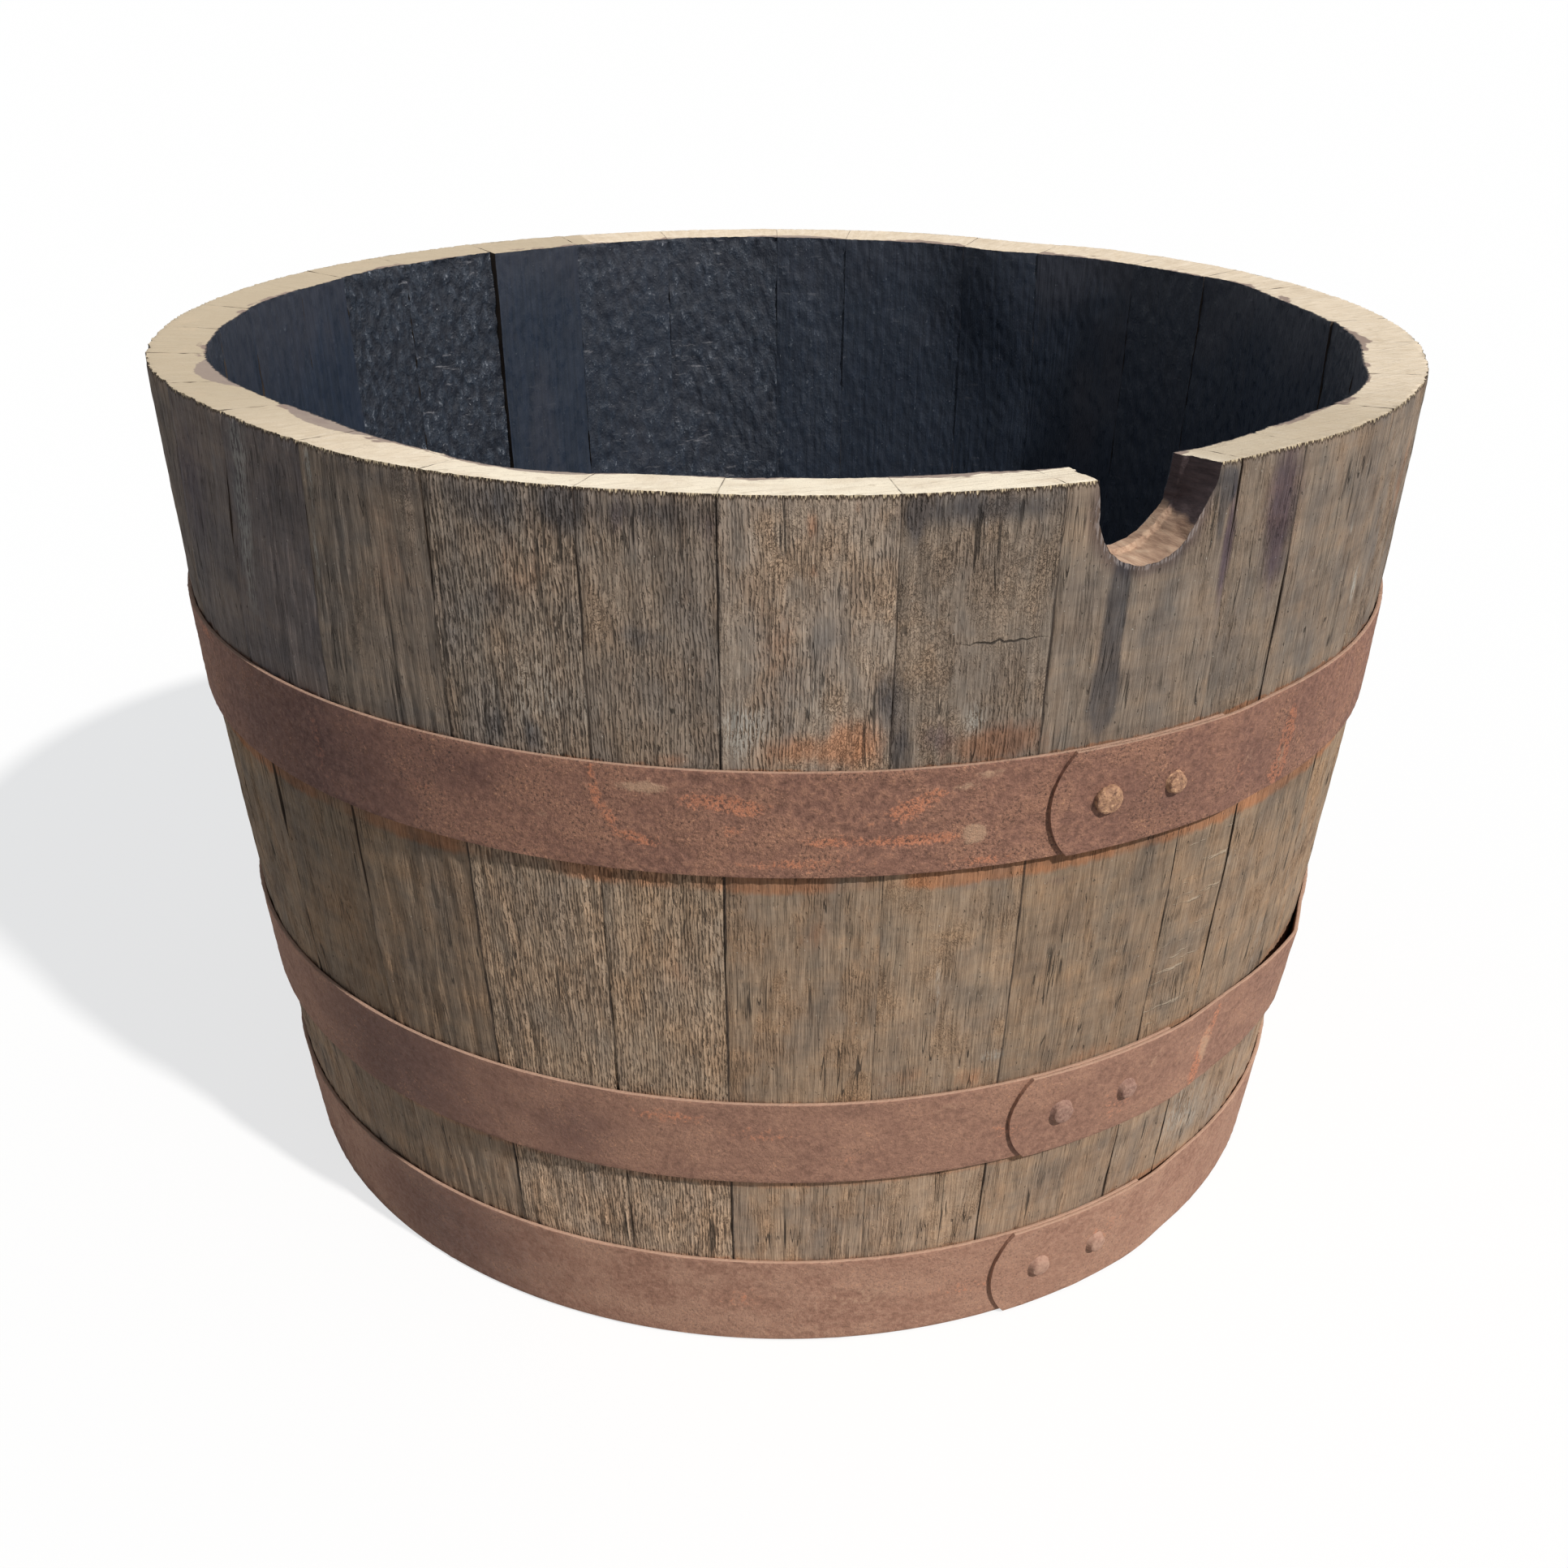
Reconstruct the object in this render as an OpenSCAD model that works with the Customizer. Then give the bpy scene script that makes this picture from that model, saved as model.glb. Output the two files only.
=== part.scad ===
// Barrel planter: the lower half of an oak cask, sawn across at the belly.
// The staves are held by three riveted steel hoops, and the cask head is the planter's floor.
// Millimetres, +Z up. The origin is the middle of the foot, on the plane of the stave ends,
// and the stave with the bung hole faces -Y.
// Angles are counted from that stave, anticlockwise seen from above.

/* [Cask] */
// Diameter over the staves at the saw cut, the widest part
belly_d = 660; // [630:1:690]
// Diameter over the staves at the foot
base_d = 583; // [560:1:610]
// Height from the stave ends to the saw cut
half_h = 448; // [410:1:500]
// How far each stave bows outwards between its end and the saw cut
stave_bow = 5; // [2:0.5:9]

/* [Staves] */
// Thickness of the staves at the foot
stave_t = 27; // [24:0.5:32]
// Height up to which the staves are dressed to one even thickness inside
even_h = 62; // [58:1:120]
// Height of the inner bevel at the stave ends
chime_bevel_h = 15; // [8:1:20]
// Width that this bevel takes off the stave ends
chime_bevel_w = 12; // [6:1:16]
// How much lower the saw cut lies at its inner edge than at its outer edge
cut_dish = 2; // [0:0.5:5]

/* [Bung hole] */
// Diameter of the bung hole
bung_d = 50; // [40:1:60]
// How far the middle of the bung hole lies below the saw cut
bung_drop = 13; // [0:1:20]
// How far the bung hole lies to the right of the middle of its stave, seen from outside
bung_off = -2; // [-10:0.5:10]

/* [Croze] */
// Height of the middle of the croze, the groove that holds the head
croze_h = 36; // [32:1:44]
// Width of the croze
croze_w = 6; // [5:0.5:8]
// Depth of the croze
croze_depth = 5; // [3:0.5:7]

/* [Head] */
// Thickness of the head boards
head_t = 22; // [18:1:26]
// Width of the bevel round the edge of the head, on both faces
head_bevel = 14; // [10:1:22]
// Play of the head in the croze, and between the head and the staves
head_play = 0.3; // [0.2:0.1:0.5]
// Diameter of the dowels between the head boards
dowel_d = 10; // [8:1:12]
// Length of these dowels
dowel_l = 44; // [36:1:56]
// Distance between the two dowels of a joint
dowel_span = 230; // [160:5:260]
// Play round a dowel and at its ends
dowel_play = 0.1; // [0.05:0.05:0.3]
// Diameter of the drain holes through the head
drain_d = 14; // [10:1:20]
// Distance between the two drain holes of a quarter board
drain_span = 150; // [100:5:200]

/* [Hoops] */
// Thickness of the hoop steel
hoop_t = 2; // [1.5:0.1:3]
// Gap between a hoop and the staves
hoop_play = 0.2; // [0.15:0.05:0.4]
// Gap between the two layers of a lap
lap_play = 0.1; // [0.05:0.05:0.3]
// Distance from the last rivet of a lap to the end of the strip
lap_end = 27; // [20:1:34]
// Length over which the outer layer of a lap comes down to the staves
lap_run = 42; // [30:1:60]
// How far the rounded end of the outer layer bulges
tongue_round = 10; // [4:1:16]

/* [Bilge hoop] */
// Height of its lower edge
bilge_hoop_z = 282.5; // [240:0.5:300]
// Width of the strip
bilge_hoop_w = 50; // [40:1:60]
// Place of its first rivet, along the hoop from the middle of the bung stave
bilge_rivet_at = -8.5; // [-40:0.5:40]
// Distance between its rivets
bilge_rivet_pitch = 35; // [28:0.5:50]

/* [Quarter hoop] */
// Height of its lower edge
quarter_hoop_z = 110.5; // [90:0.5:150]
// Width of the strip
quarter_hoop_w = 48; // [40:1:60]
// Place of its first rivet, along the hoop from the middle of the bung stave
quarter_rivet_at = -6; // [-40:0.5:40]
// Distance between its rivets
quarter_rivet_pitch = 38.5; // [28:0.5:50]
// How far the upper edge has sprung off the staves
spring_top = 4.5; // [2:0.5:10]
// How far the lower edge has sprung off the staves
spring_foot = 1.5; // [0.5:0.5:6]
// Distance from the foot of the lap to where the hoop leaves the staves
spring_off = 6; // [6:1:30]
// Length over which it rises to the kink
spring_rise = 75; // [40:1:110]
// Length over which it comes back from the kink to the staves
spring_fall = 36; // [20:1:60]

/* [Head hoop] */
// Height of its lower edge
head_hoop_z = 1; // [0.5:0.5:10]
// Width of the strip
head_hoop_w = 55; // [45:1:65]
// Place of its first rivet, along the hoop from the middle of the bung stave
head_rivet_at = -1.5; // [-40:0.5:40]
// Distance between its rivets
head_rivet_pitch = 35.5; // [28:0.5:50]

/* [Rivets] */
// Diameter of the rivet heads
rivet_head_d = 12; // [9:0.5:15]
// Height of the rivet heads
rivet_head_h = 4; // [2.5:0.5:5]
// Diameter of the shanks
shank_d = 6; // [4:0.5:8]
// Diameter of the flush inner end, which is spread into a countersink
tail_d = 9; // [8.5:0.5:11]
// Play round a shank
rivet_play = 0.05; // [0.02:0.01:0.1]

/* [Hidden] */
// Widths of the staves at the belly, from the bung stave anticlockwise. They are shared out over
// the full circle, so they set the proportions of the staves whatever the cask's diameter.
stave_widths = [
    85, 41, 80, 77, 79, 62, 104, 58, 62, 78,
    62, 95, 53, 84, 73, 69, 75, 61, 47, 68,
    61, 67, 72, 65, 69, 71, 66, 55, 69, 65
];
// How much thicker each stave is at the saw cut than at the foot
rim_extra = [
    -2, -1, 3, -2, 3, 2, 4, -2, 3, 4,
    5, 4, 2, -3, 2, 6, 1, 0, 3, 0,
    2, 1, 2, 3, 5, 3, -5, 3, 3, 3
];
stave_count = len(stave_widths);
head_boards = ["head_cant_left", "head_quarter_left", "head_middle", "head_quarter_right", "head_cant_right"];
$fn = 144;

function sum_to(list, n) = n <= 0 ? 0 : list[n - 1] + sum_to(list, n - 1);
stave_share = 360 / sum_to(stave_widths, stave_count);
function stave_edge(i) = (sum_to(stave_widths, i) - stave_widths[0] / 2) * stave_share;

// Outer radius of the staves at height z: a shallow bow from the foot to the saw cut
function outer_r(z) =
    let (u = z / half_h)
    base_d / 2 + (belly_d - base_d) / 2 * u + 4 * stave_bow * u * (1 - u);

// Inner radius at height z of a stave that is extra thicker at the saw cut
function inner_r(z, extra = 0) =
    outer_r(z) - stave_t - extra * max(0, (z - even_h) / (half_h - even_h));

croze_r = inner_r(croze_h) + croze_depth;
croze_low = croze_h - croze_w / 2;
croze_top = croze_h + croze_w / 2;

// ---- Staves ----

profile_steps = 12;

function stave_profile(extra) = concat(
    [for (k = [0 : profile_steps]) let (z = half_h * k / profile_steps) [outer_r(z), z]],
    [for (k = [profile_steps : -1 : 0])
        let (z = even_h + (half_h - cut_dish - even_h) * k / profile_steps) [inner_r(z, extra), z]],
    [[inner_r(croze_top), croze_top], [croze_r, croze_top], [croze_r, croze_low],
     [inner_r(croze_low), croze_low], [inner_r(chime_bevel_h), chime_bevel_h],
     [inner_r(0) + chime_bevel_w, 0]]
);

// One stave: a wedge of the cask's wall between two radial joints
module stave_blank(i) {
    rotate([0, 0, stave_edge(i) - 90])
        rotate_extrude(angle = stave_edge(i + 1) - stave_edge(i))
            polygon(stave_profile(rim_extra[i]));
}

// The staves differ a little in shade
module stave(i) {
    shade = 0.92 + 0.08 * sin(i * 137);
    color([0.42 * shade, 0.35 * shade, 0.27 * shade]) stave_blank(i);
}

// The bung stave: the saw cut went through the bung hole, so that the hole is open at the top
module bung_stave() {
    reach = belly_d / 2 + 10;
    color([0.42, 0.35, 0.27])
        difference() {
            stave_blank(0);
            translate([bung_off, 0, half_h - bung_drop])
                rotate([90, 0, 0]) cylinder(d = bung_d, h = reach);
            translate([bung_off - bung_d / 2, -reach, half_h - bung_drop])
                cube([bung_d, reach, bung_drop + 1]);
        }
}

// ---- Hoops ----

// Radius of the inner face of a hoop at height z. A hoop is a flat strip rolled to a cone, so its
// face is straight from its lower edge z0 to its upper edge z1.
function hoop_r(z, z0, z1) =
    let (r0 = outer_r(z0), r1 = outer_r(z1)) r0 + (r1 - r0) * (z - z0) / (z1 - z0) + hoop_play;

// Angle that a length along a hoop spans, measured at the hoop's middle height
function along(length, z0, z1) = length / hoop_r((z0 + z1) / 2, z0, z1) * 180 / PI;

layer_step = hoop_t + lap_play;

// Stretch of a hoop from angle a0 to a1, lifted off the staves by lift
module hoop_arc(z0, z1, a0, a1, lift = 0) {
    low = hoop_r(z0, z0, z1) + lift;
    high = hoop_r(z1, z0, z1) + lift;
    rotate([0, 0, a0 - 90])
        rotate_extrude(angle = a1 - a0)
            polygon([[low, z0], [low + hoop_t, z0], [high + hoop_t, z1], [high, z1]]);
}

// How far and how deep the ends of a hoop_run reach into the arcs that it joins
weld_angle = 0.5;
weld_inset = 0.05;

// Stretch of a hoop whose distance from the staves changes along it. angles are its stations, and
// lifts holds the distance of the lower and of the upper edge at each of them.
module hoop_run(z0, z1, angles, lifts) {
    count = len(angles);
    last = count + 1;
    stations = concat([angles[0] - weld_angle], angles, [angles[count - 1] + weld_angle]);
    rises = concat([lifts[0]], lifts, [lifts[count - 1]]);
    function inset(i) = i < 2 || i > last - 2 ? weld_inset : 0;
    function corner(i, edge, outside) =
        let (
            z = edge == 0 ? z0 + inset(i) : z1 - inset(i),
            wall = outside == 0 ? inset(i) : hoop_t - inset(i),
            r = hoop_r(z, z0, z1) + rises[i][edge] + wall
        )
        [r * sin(stations[i]), -r * cos(stations[i]), z];
    polyhedron(
        points = [for (i = [0 : last])
            each [corner(i, 0, 0), corner(i, 1, 0), corner(i, 1, 1), corner(i, 0, 1)]],
        faces = concat(
            [[0, 1, 2, 3], [for (k = [3 : -1 : 0]) last * 4 + k]],
            [for (i = [0 : last - 1], k = [0 : 3])
                let (a = i * 4 + k, b = a + 4, c = (i + 1) * 4 + (k + 1) % 4, d = i * 4 + (k + 1) % 4)
                each [[a, b, c], [a, c, d]]]
        )
    );
}

// Cuts the end at angle a of a strip to a round tongue
module tongue_cut(z0, z1, a) {
    w = z1 - z0;
    round_r = (pow(w / 2, 2) + pow(tongue_round, 2)) / (2 * tongue_round);
    r = hoop_r(z1, z0, z1) + 2 * layer_step;
    depth = 3 * layer_step + (hoop_r(z1, z0, z1) - hoop_r(z0, z0, z1));
    rotate([0, 0, a]) translate([0, -r, (z0 + z1) / 2]) rotate([-90, 0, 0])
        difference() {
            translate([-tongue_round, -w / 2 - 1, 0]) cube([2 * tongue_round, w + 2, depth]);
            translate([round_r, 0, -1]) cylinder(r = round_r, h = depth + 2);
        }
}

// Places its children at a rivet of a hoop: origin on the staves' side of the inner layer, +Z outwards
module at_rivet(z0, z1, a) {
    slope = atan((hoop_r(z1, z0, z1) - hoop_r(z0, z0, z1)) / (z1 - z0));
    middle = (z0 + z1) / 2;
    rotate([0, 0, a]) translate([0, -hoop_r(middle, z0, z1), middle])
        rotate([90 + slope, 0, 0]) children();
}

grip = layer_step + hoop_t;
sink_h = hoop_t * 0.75;

// Shank of a rivet, with its spread end flush with the inner layer. With play it is the hole.
module rivet_body(play = 0) {
    translate([0, 0, -play]) {
        cylinder(d1 = tail_d + 2 * play, d2 = shank_d, h = sink_h + play, $fn = 48);
        cylinder(d = shank_d + 2 * play, h = grip + 2 * play, $fn = 48);
    }
}

module rivet_head() {
    dome_r = (pow(rivet_head_d / 2, 2) + pow(rivet_head_h, 2)) / (2 * rivet_head_h);
    intersection() {
        translate([0, 0, rivet_head_h - dome_r]) sphere(r = dome_r, $fn = 48);
        cylinder(d = rivet_head_d + 1, h = rivet_head_h + 1, $fn = 48);
    }
}

module rivet_pair(z0, z1, first, pitch) {
    color([0.36, 0.22, 0.16])
        for (at = [first, first + pitch])
            at_rivet(z0, z1, along(at, z0, z1)) {
                rivet_body();
                translate([0, 0, grip]) rivet_head();
            }
}

// Angles of a hoop's ends: the tip of the outer layer, the end of the inner layer under it, and
// where the outer layer has come down to the staves past that end
function tip_at(z0, z1, first) = along(first - lap_end, z0, z1);
function inner_end_at(z0, z1, first, pitch) = along(first + pitch + lap_end, z0, z1);
function lap_foot_at(z0, z1, first, pitch) = along(first + pitch + lap_end + lap_run, z0, z1);

// A whole hoop. gap is a stretch from angle gap[0] to gap[1] that the children fill.
module hoop(z0, z1, first, pitch, gap = []) {
    tip = tip_at(z0, z1, first);
    inner_end = inner_end_at(z0, z1, first, pitch);
    foot = lap_foot_at(z0, z1, first, pitch);
    round_end = inner_end + 360 - along(lap_play, z0, z1);
    run_steps = 8;
    run_angles = [for (k = [0 : run_steps]) inner_end + (foot - inner_end) * k / run_steps];
    run_lifts = [for (k = [0 : run_steps]) layer_step * (1 + cos(180 * k / run_steps)) / 2 * [1, 1]];
    difference() {
        union() {
            difference() {
                hoop_arc(z0, z1, tip, inner_end, layer_step);
                tongue_cut(z0, z1, tip);
            }
            hoop_run(z0, z1, run_angles, run_lifts);
            if (len(gap) == 0) {
                hoop_arc(z0, z1, foot, round_end);
            } else {
                hoop_arc(z0, z1, foot, gap[0]);
                hoop_arc(z0, z1, gap[1], round_end);
            }
            children();
        }
        for (at = [first, first + pitch])
            at_rivet(z0, z1, along(at, z0, z1)) rivet_body(rivet_play);
    }
}

module bilge_hoop() {
    color([0.40, 0.24, 0.18])
        hoop(bilge_hoop_z, bilge_hoop_z + bilge_hoop_w, bilge_rivet_at, bilge_rivet_pitch);
}

module head_hoop() {
    color([0.45, 0.28, 0.20])
        hoop(head_hoop_z, head_hoop_z + head_hoop_w, head_rivet_at, head_rivet_pitch);
}

// The quarter hoop has a kink where it has sprung off the staves
module quarter_hoop() {
    z0 = quarter_hoop_z;
    z1 = quarter_hoop_z + quarter_hoop_w;
    from = lap_foot_at(z0, z1, quarter_rivet_at, quarter_rivet_pitch) + along(spring_off, z0, z1);
    peak = from + along(spring_rise, z0, z1);
    to = peak + along(spring_fall, z0, z1);
    rise_steps = 11;
    fall_steps = 7;
    angles = concat(
        [for (k = [0 : rise_steps]) from + (peak - from) * k / rise_steps],
        [for (k = [1 : fall_steps]) peak + (to - peak) * k / fall_steps]
    );
    // Above 1 the strip leaves the staves softly and is sharply bent at the kink
    spring_curve = 1.2;
    function share(a) = pow(a < peak ? (a - from) / (peak - from) : (to - a) / (to - peak), spring_curve);
    color([0.40, 0.25, 0.19])
        hoop(z0, z1, quarter_rivet_at, quarter_rivet_pitch, gap = [from, to])
            hoop_run(z0, z1, angles, [for (a = angles) share(a) * [spring_foot, spring_top]]);
}

module bilge_rivets() {
    rivet_pair(bilge_hoop_z, bilge_hoop_z + bilge_hoop_w, bilge_rivet_at, bilge_rivet_pitch);
}

module quarter_rivets() {
    rivet_pair(quarter_hoop_z, quarter_hoop_z + quarter_hoop_w, quarter_rivet_at, quarter_rivet_pitch);
}

module head_rivets() {
    rivet_pair(head_hoop_z, head_hoop_z + head_hoop_w, head_rivet_at, head_rivet_pitch);
}

// ---- Head ----

head_r = croze_r - head_play;
lip_r = inner_r(croze_low) - head_play;
board_w = 2 * head_r / len(head_boards);
tongue_t = croze_w - 2 * head_play;

// Section of the head: full thickness inside, bevelled on both faces to the tongue in the croze
module head_disc() {
    rotate_extrude()
        polygon([
            [0, croze_h - head_t / 2], [lip_r - head_bevel, croze_h - head_t / 2],
            [lip_r, croze_h - tongue_t / 2], [head_r, croze_h - tongue_t / 2],
            [head_r, croze_h + tongue_t / 2], [lip_r, croze_h + tongue_t / 2],
            [lip_r - head_bevel, croze_h + head_t / 2], [0, croze_h + head_t / 2]
        ]);
}

// The two dowels of joint j, which lies between boards j and j + 1
module dowel_pair(j, play = 0) {
    x = -head_r + board_w * (j + 1);
    for (side = [-1, 1])
        translate([x - dowel_l / 2 - play, side * dowel_span / 2, croze_h])
            rotate([0, 90, 0]) cylinder(d = dowel_d + 2 * play, h = dowel_l + 2 * play, $fn = 48);
}

// Drain holes of board j: one in the middle board and two in each quarter board
module drains(j) {
    middle = (len(head_boards) - 1) / 2;
    x = (j - middle) * board_w;
    places = j == middle ? [0] : abs(j - middle) == 1 ? [-drain_span / 2, drain_span / 2] : [];
    for (y = places)
        translate([x, y, croze_h - head_t]) cylinder(d = drain_d, h = 2 * head_t, $fn = 48);
}

module head_board(j) {
    color([0.30, 0.23, 0.17])
        difference() {
            intersection() {
                head_disc();
                translate([-head_r + board_w * j, -head_r - 1, croze_h - head_t])
                    cube([board_w, 2 * head_r + 2, 2 * head_t]);
            }
            if (j > 0) dowel_pair(j - 1, dowel_play);
            if (j < len(head_boards) - 1) dowel_pair(j, dowel_play);
            drains(j);
        }
}

module head_dowels() {
    color([0.62, 0.48, 0.33])
        for (j = [0 : len(head_boards) - 2]) dowel_pair(j);
}

// ---- Assembly ----

bung_stave();
for (i = [1 : stave_count - 1])
    stave(i);
bilge_hoop();
quarter_hoop();
head_hoop();
bilge_rivets();
quarter_rivets();
head_rivets();
for (j = [0 : len(head_boards) - 1])
    head_board(j);
head_dowels();
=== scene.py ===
"""Half of an oak cask used as a planter: weathered staves, three rusted hoops and a charred inside."""

import math
from random import Random

import bpy
from mathutils import Matrix, Vector


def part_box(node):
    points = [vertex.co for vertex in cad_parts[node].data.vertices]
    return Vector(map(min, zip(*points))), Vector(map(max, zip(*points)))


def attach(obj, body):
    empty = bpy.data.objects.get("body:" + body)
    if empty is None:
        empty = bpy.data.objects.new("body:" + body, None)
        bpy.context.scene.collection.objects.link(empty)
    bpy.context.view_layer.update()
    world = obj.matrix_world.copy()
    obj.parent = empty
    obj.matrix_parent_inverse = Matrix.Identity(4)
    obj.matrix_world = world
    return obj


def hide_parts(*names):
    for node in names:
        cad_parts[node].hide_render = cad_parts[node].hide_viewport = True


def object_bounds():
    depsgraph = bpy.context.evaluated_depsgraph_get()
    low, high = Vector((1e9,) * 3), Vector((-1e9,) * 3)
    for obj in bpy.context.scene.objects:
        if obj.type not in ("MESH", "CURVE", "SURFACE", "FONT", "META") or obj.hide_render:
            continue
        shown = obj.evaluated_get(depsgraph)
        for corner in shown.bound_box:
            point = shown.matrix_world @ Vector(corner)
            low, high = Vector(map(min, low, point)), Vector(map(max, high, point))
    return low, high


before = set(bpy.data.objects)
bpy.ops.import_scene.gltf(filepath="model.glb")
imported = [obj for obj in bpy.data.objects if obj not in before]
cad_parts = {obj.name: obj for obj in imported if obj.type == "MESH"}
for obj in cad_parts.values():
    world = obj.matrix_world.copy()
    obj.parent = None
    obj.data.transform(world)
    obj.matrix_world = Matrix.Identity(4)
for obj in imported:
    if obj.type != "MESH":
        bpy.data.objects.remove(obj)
cad_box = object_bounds()


# ---- Staves ----
# Thirty tapered oak boards, jointed edge to edge on radial planes and bent to the cask's bow. They are
# weathered outside, charred inside and freshly sawn at the rim. Each is worked as a flat board, with x
# across it, y from its outer face inwards and z along it, and is then bent into its place.

foot_r, belly_r, half_h = 0.2915, 0.330, 0.448
stave_bow = 0.005
stave_t, even_h = 0.027, 0.062
cut_dish = 0.002
chime_bevel_h, chime_bevel_w = 0.015, 0.012
croze_low, croze_top, croze_depth = 0.033, 0.039, 0.005
stave_count = 30
stave_names = ["bung_stave"] + [f"stave_{i}" for i in range(1, stave_count)]


def outer_r(z):
    """Radius of the staves' outer face: a shallow bow from the foot to the saw cut."""
    u = z / half_h
    return foot_r + (belly_r - foot_r) * u + 4 * stave_bow * u * (1 - u)


def angle_of(point):
    """Angle round the cask, from the middle of the bung stave, anticlockwise seen from above."""
    return math.atan2(point.x, -point.y)


def stave_facts(name):
    """Middle angle and half the angle of a stave, and its thickness at the saw cut, off the frame."""
    near_rim = 0.006
    points = [v.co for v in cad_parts[name].data.vertices]
    rough = angle_of(sum(points, Vector()) / len(points))
    turns = [math.remainder(angle_of(p) - rough, 2 * math.pi) for p in points]
    rim = [math.hypot(p.x, p.y) for p in points if p.z > half_h - near_rim]
    middle = rough + (min(turns) + max(turns)) / 2
    return middle, (max(turns) - min(turns)) / 2, belly_r - min(rim)


def clear_selection():
    """Go back to object mode with nothing selected, as every operator here starts from."""
    if bpy.context.mode != "OBJECT":
        bpy.ops.object.mode_set(mode="OBJECT")
    bpy.ops.object.select_all(action="DESELECT")


def take_up(piece):
    """Select this piece alone, ready for the next operator."""
    clear_selection()
    piece.select_set(True)
    bpy.context.view_layer.objects.active = piece


def pick_edges(piece, axis, least):
    """Go into edit mode with those edges selected that run along an axis for more than this far."""
    take_up(piece)
    mesh = piece.data
    bpy.context.tool_settings.mesh_select_mode = (False, True, False)
    for parts in (mesh.vertices, mesh.edges, mesh.polygons):
        parts.foreach_set("select", [False] * len(parts))
    for edge in mesh.edges:
        first, second = [mesh.vertices[k] for k in edge.vertices]
        if abs(first.co[axis] - second.co[axis]) > least:
            edge.select = first.select = second.select = True
    bpy.ops.object.mode_set(mode="EDIT")


def divide(piece, axis, least, cuts):
    """Cut the edges that run along an axis into equal lengths, in two rounds where there are many."""
    most_cuts = 100
    rounds = [cuts] if cuts <= most_cuts else [round(math.sqrt(cuts + 1)) - 1] * 2
    for step in rounds:
        pick_edges(piece, axis, least)
        bpy.ops.mesh.subdivide(number_cuts=step)
        bpy.ops.object.mode_set(mode="OBJECT")
        least /= step + 1


def saw_across(piece, cuts):
    """Cut right through a piece on planes, each a point and a normal, keeping both sides."""
    clear_selection()
    bpy.context.view_layer.objects.active = piece
    bpy.ops.object.mode_set(mode="EDIT")
    for at, normal in cuts:
        bpy.ops.mesh.select_all(action="SELECT")
        bpy.ops.mesh.bisect(plane_co=at, plane_no=normal)
    bpy.ops.object.mode_set(mode="OBJECT")


def block(name, low, high):
    """A plain block between two corners, as timber or steel comes before it is worked."""
    clear_selection()
    bpy.ops.mesh.primitive_cube_add(size=1, location=[(a + b) / 2 for a, b in zip(low, high)])
    piece = bpy.context.object
    piece.name = name
    piece.scale = [b - a for a, b in zip(low, high)]
    bpy.ops.object.transform_apply(location=True, rotation=True, scale=True)
    return piece


def shape_with(piece, kind, tool):
    """Cut a piece with a tool, or trim it to the tool's shape, and put the tool away."""
    cut = piece.modifiers.new("cut", "BOOLEAN")
    cut.operation = kind
    cut.object = tool
    cut.solver = "EXACT"
    take_up(piece)
    bpy.ops.object.modifier_apply(modifier=cut.name)
    bpy.data.objects.remove(tool)


def smooth(piece, degrees):
    """Shade a piece smooth wherever its faces meet at less than this."""
    take_up(piece)
    bpy.ops.object.shade_smooth_by_angle(angle=math.radians(degrees))


def group(piece, name, weight):
    """Give each point of a piece its share, from 0 to 1, in a named group."""
    shares = piece.vertex_groups.new(name=name)
    for v in piece.data.vertices:
        share = weight(v.co)
        if share > 0:
            shares.add([v.index], share, "REPLACE")


bpy.ops.object.empty_add()
ruler = bpy.context.object
ruler.name = "ruler"


def work(piece, texture, feature, height, where, axis, middle=0.0, shift=0.0):
    """Work a surface in or out along an axis. feature is the size of the texture's marks in x, y and z."""
    ruler.scale = feature
    ruler.location = (shift, shift * 0.7, shift * 0.3)
    bpy.context.view_layer.update()
    step = piece.modifiers.new("worked", "DISPLACE")
    step.texture = texture
    step.texture_coords = "OBJECT"
    step.texture_coords_object = ruler
    step.direction = axis
    step.mid_level = middle
    step.strength = height
    step.vertex_group = where
    take_up(piece)
    bpy.ops.object.modifier_apply(modifier=step.name)


def clouds(name, depth=2, contrast=1.0, hard=False):
    """Cloudy hills and hollows, soft or with sharp folds."""
    texture = bpy.data.textures.new(name, "CLOUDS")
    texture.noise_scale = 1.0
    texture.noise_depth = depth
    texture.noise_type = "HARD_NOISE" if hard else "SOFT_NOISE"
    texture.contrast = contrast
    return texture


def scales(name):
    """Cells with sunken edges, as charred or dried wood breaks into."""
    texture = bpy.data.textures.new(name, "VORONOI")
    texture.noise_scale = 1.0
    texture.distance_metric = "DISTANCE"
    texture.weight_1 = -1.0
    texture.weight_2 = 1.0
    return texture


grain_texture = clouds("grain", depth=3, contrast=1.4)
wave_texture = clouds("waves", depth=1)
crack_texture = clouds("cracks", depth=2, contrast=3.2, hard=True)
crack_texture.intensity = 0.62
fray_texture = clouds("fray", depth=4, contrast=2.0)
char_texture = scales("char")


class Level:
    """What a node gives out. Arithmetic on it adds a Math node and gives back that node's level."""

    def __init__(self, finish, socket):
        self.finish = finish
        self.socket = socket

    def __add__(self, other):
        return self.finish.sum("ADD", self, other)

    def __sub__(self, other):
        return self.finish.sum("SUBTRACT", self, other)

    def __rsub__(self, other):
        return self.finish.sum("SUBTRACT", other, self)

    def __mul__(self, other):
        return self.finish.sum("MULTIPLY", self, other)

    def __truediv__(self, other):
        return self.finish.sum("DIVIDE", self, other)

    def __pow__(self, other):
        return self.finish.sum("POWER", self, other)

    def __abs__(self):
        return self.finish.sum("ABSOLUTE", self)


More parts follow.
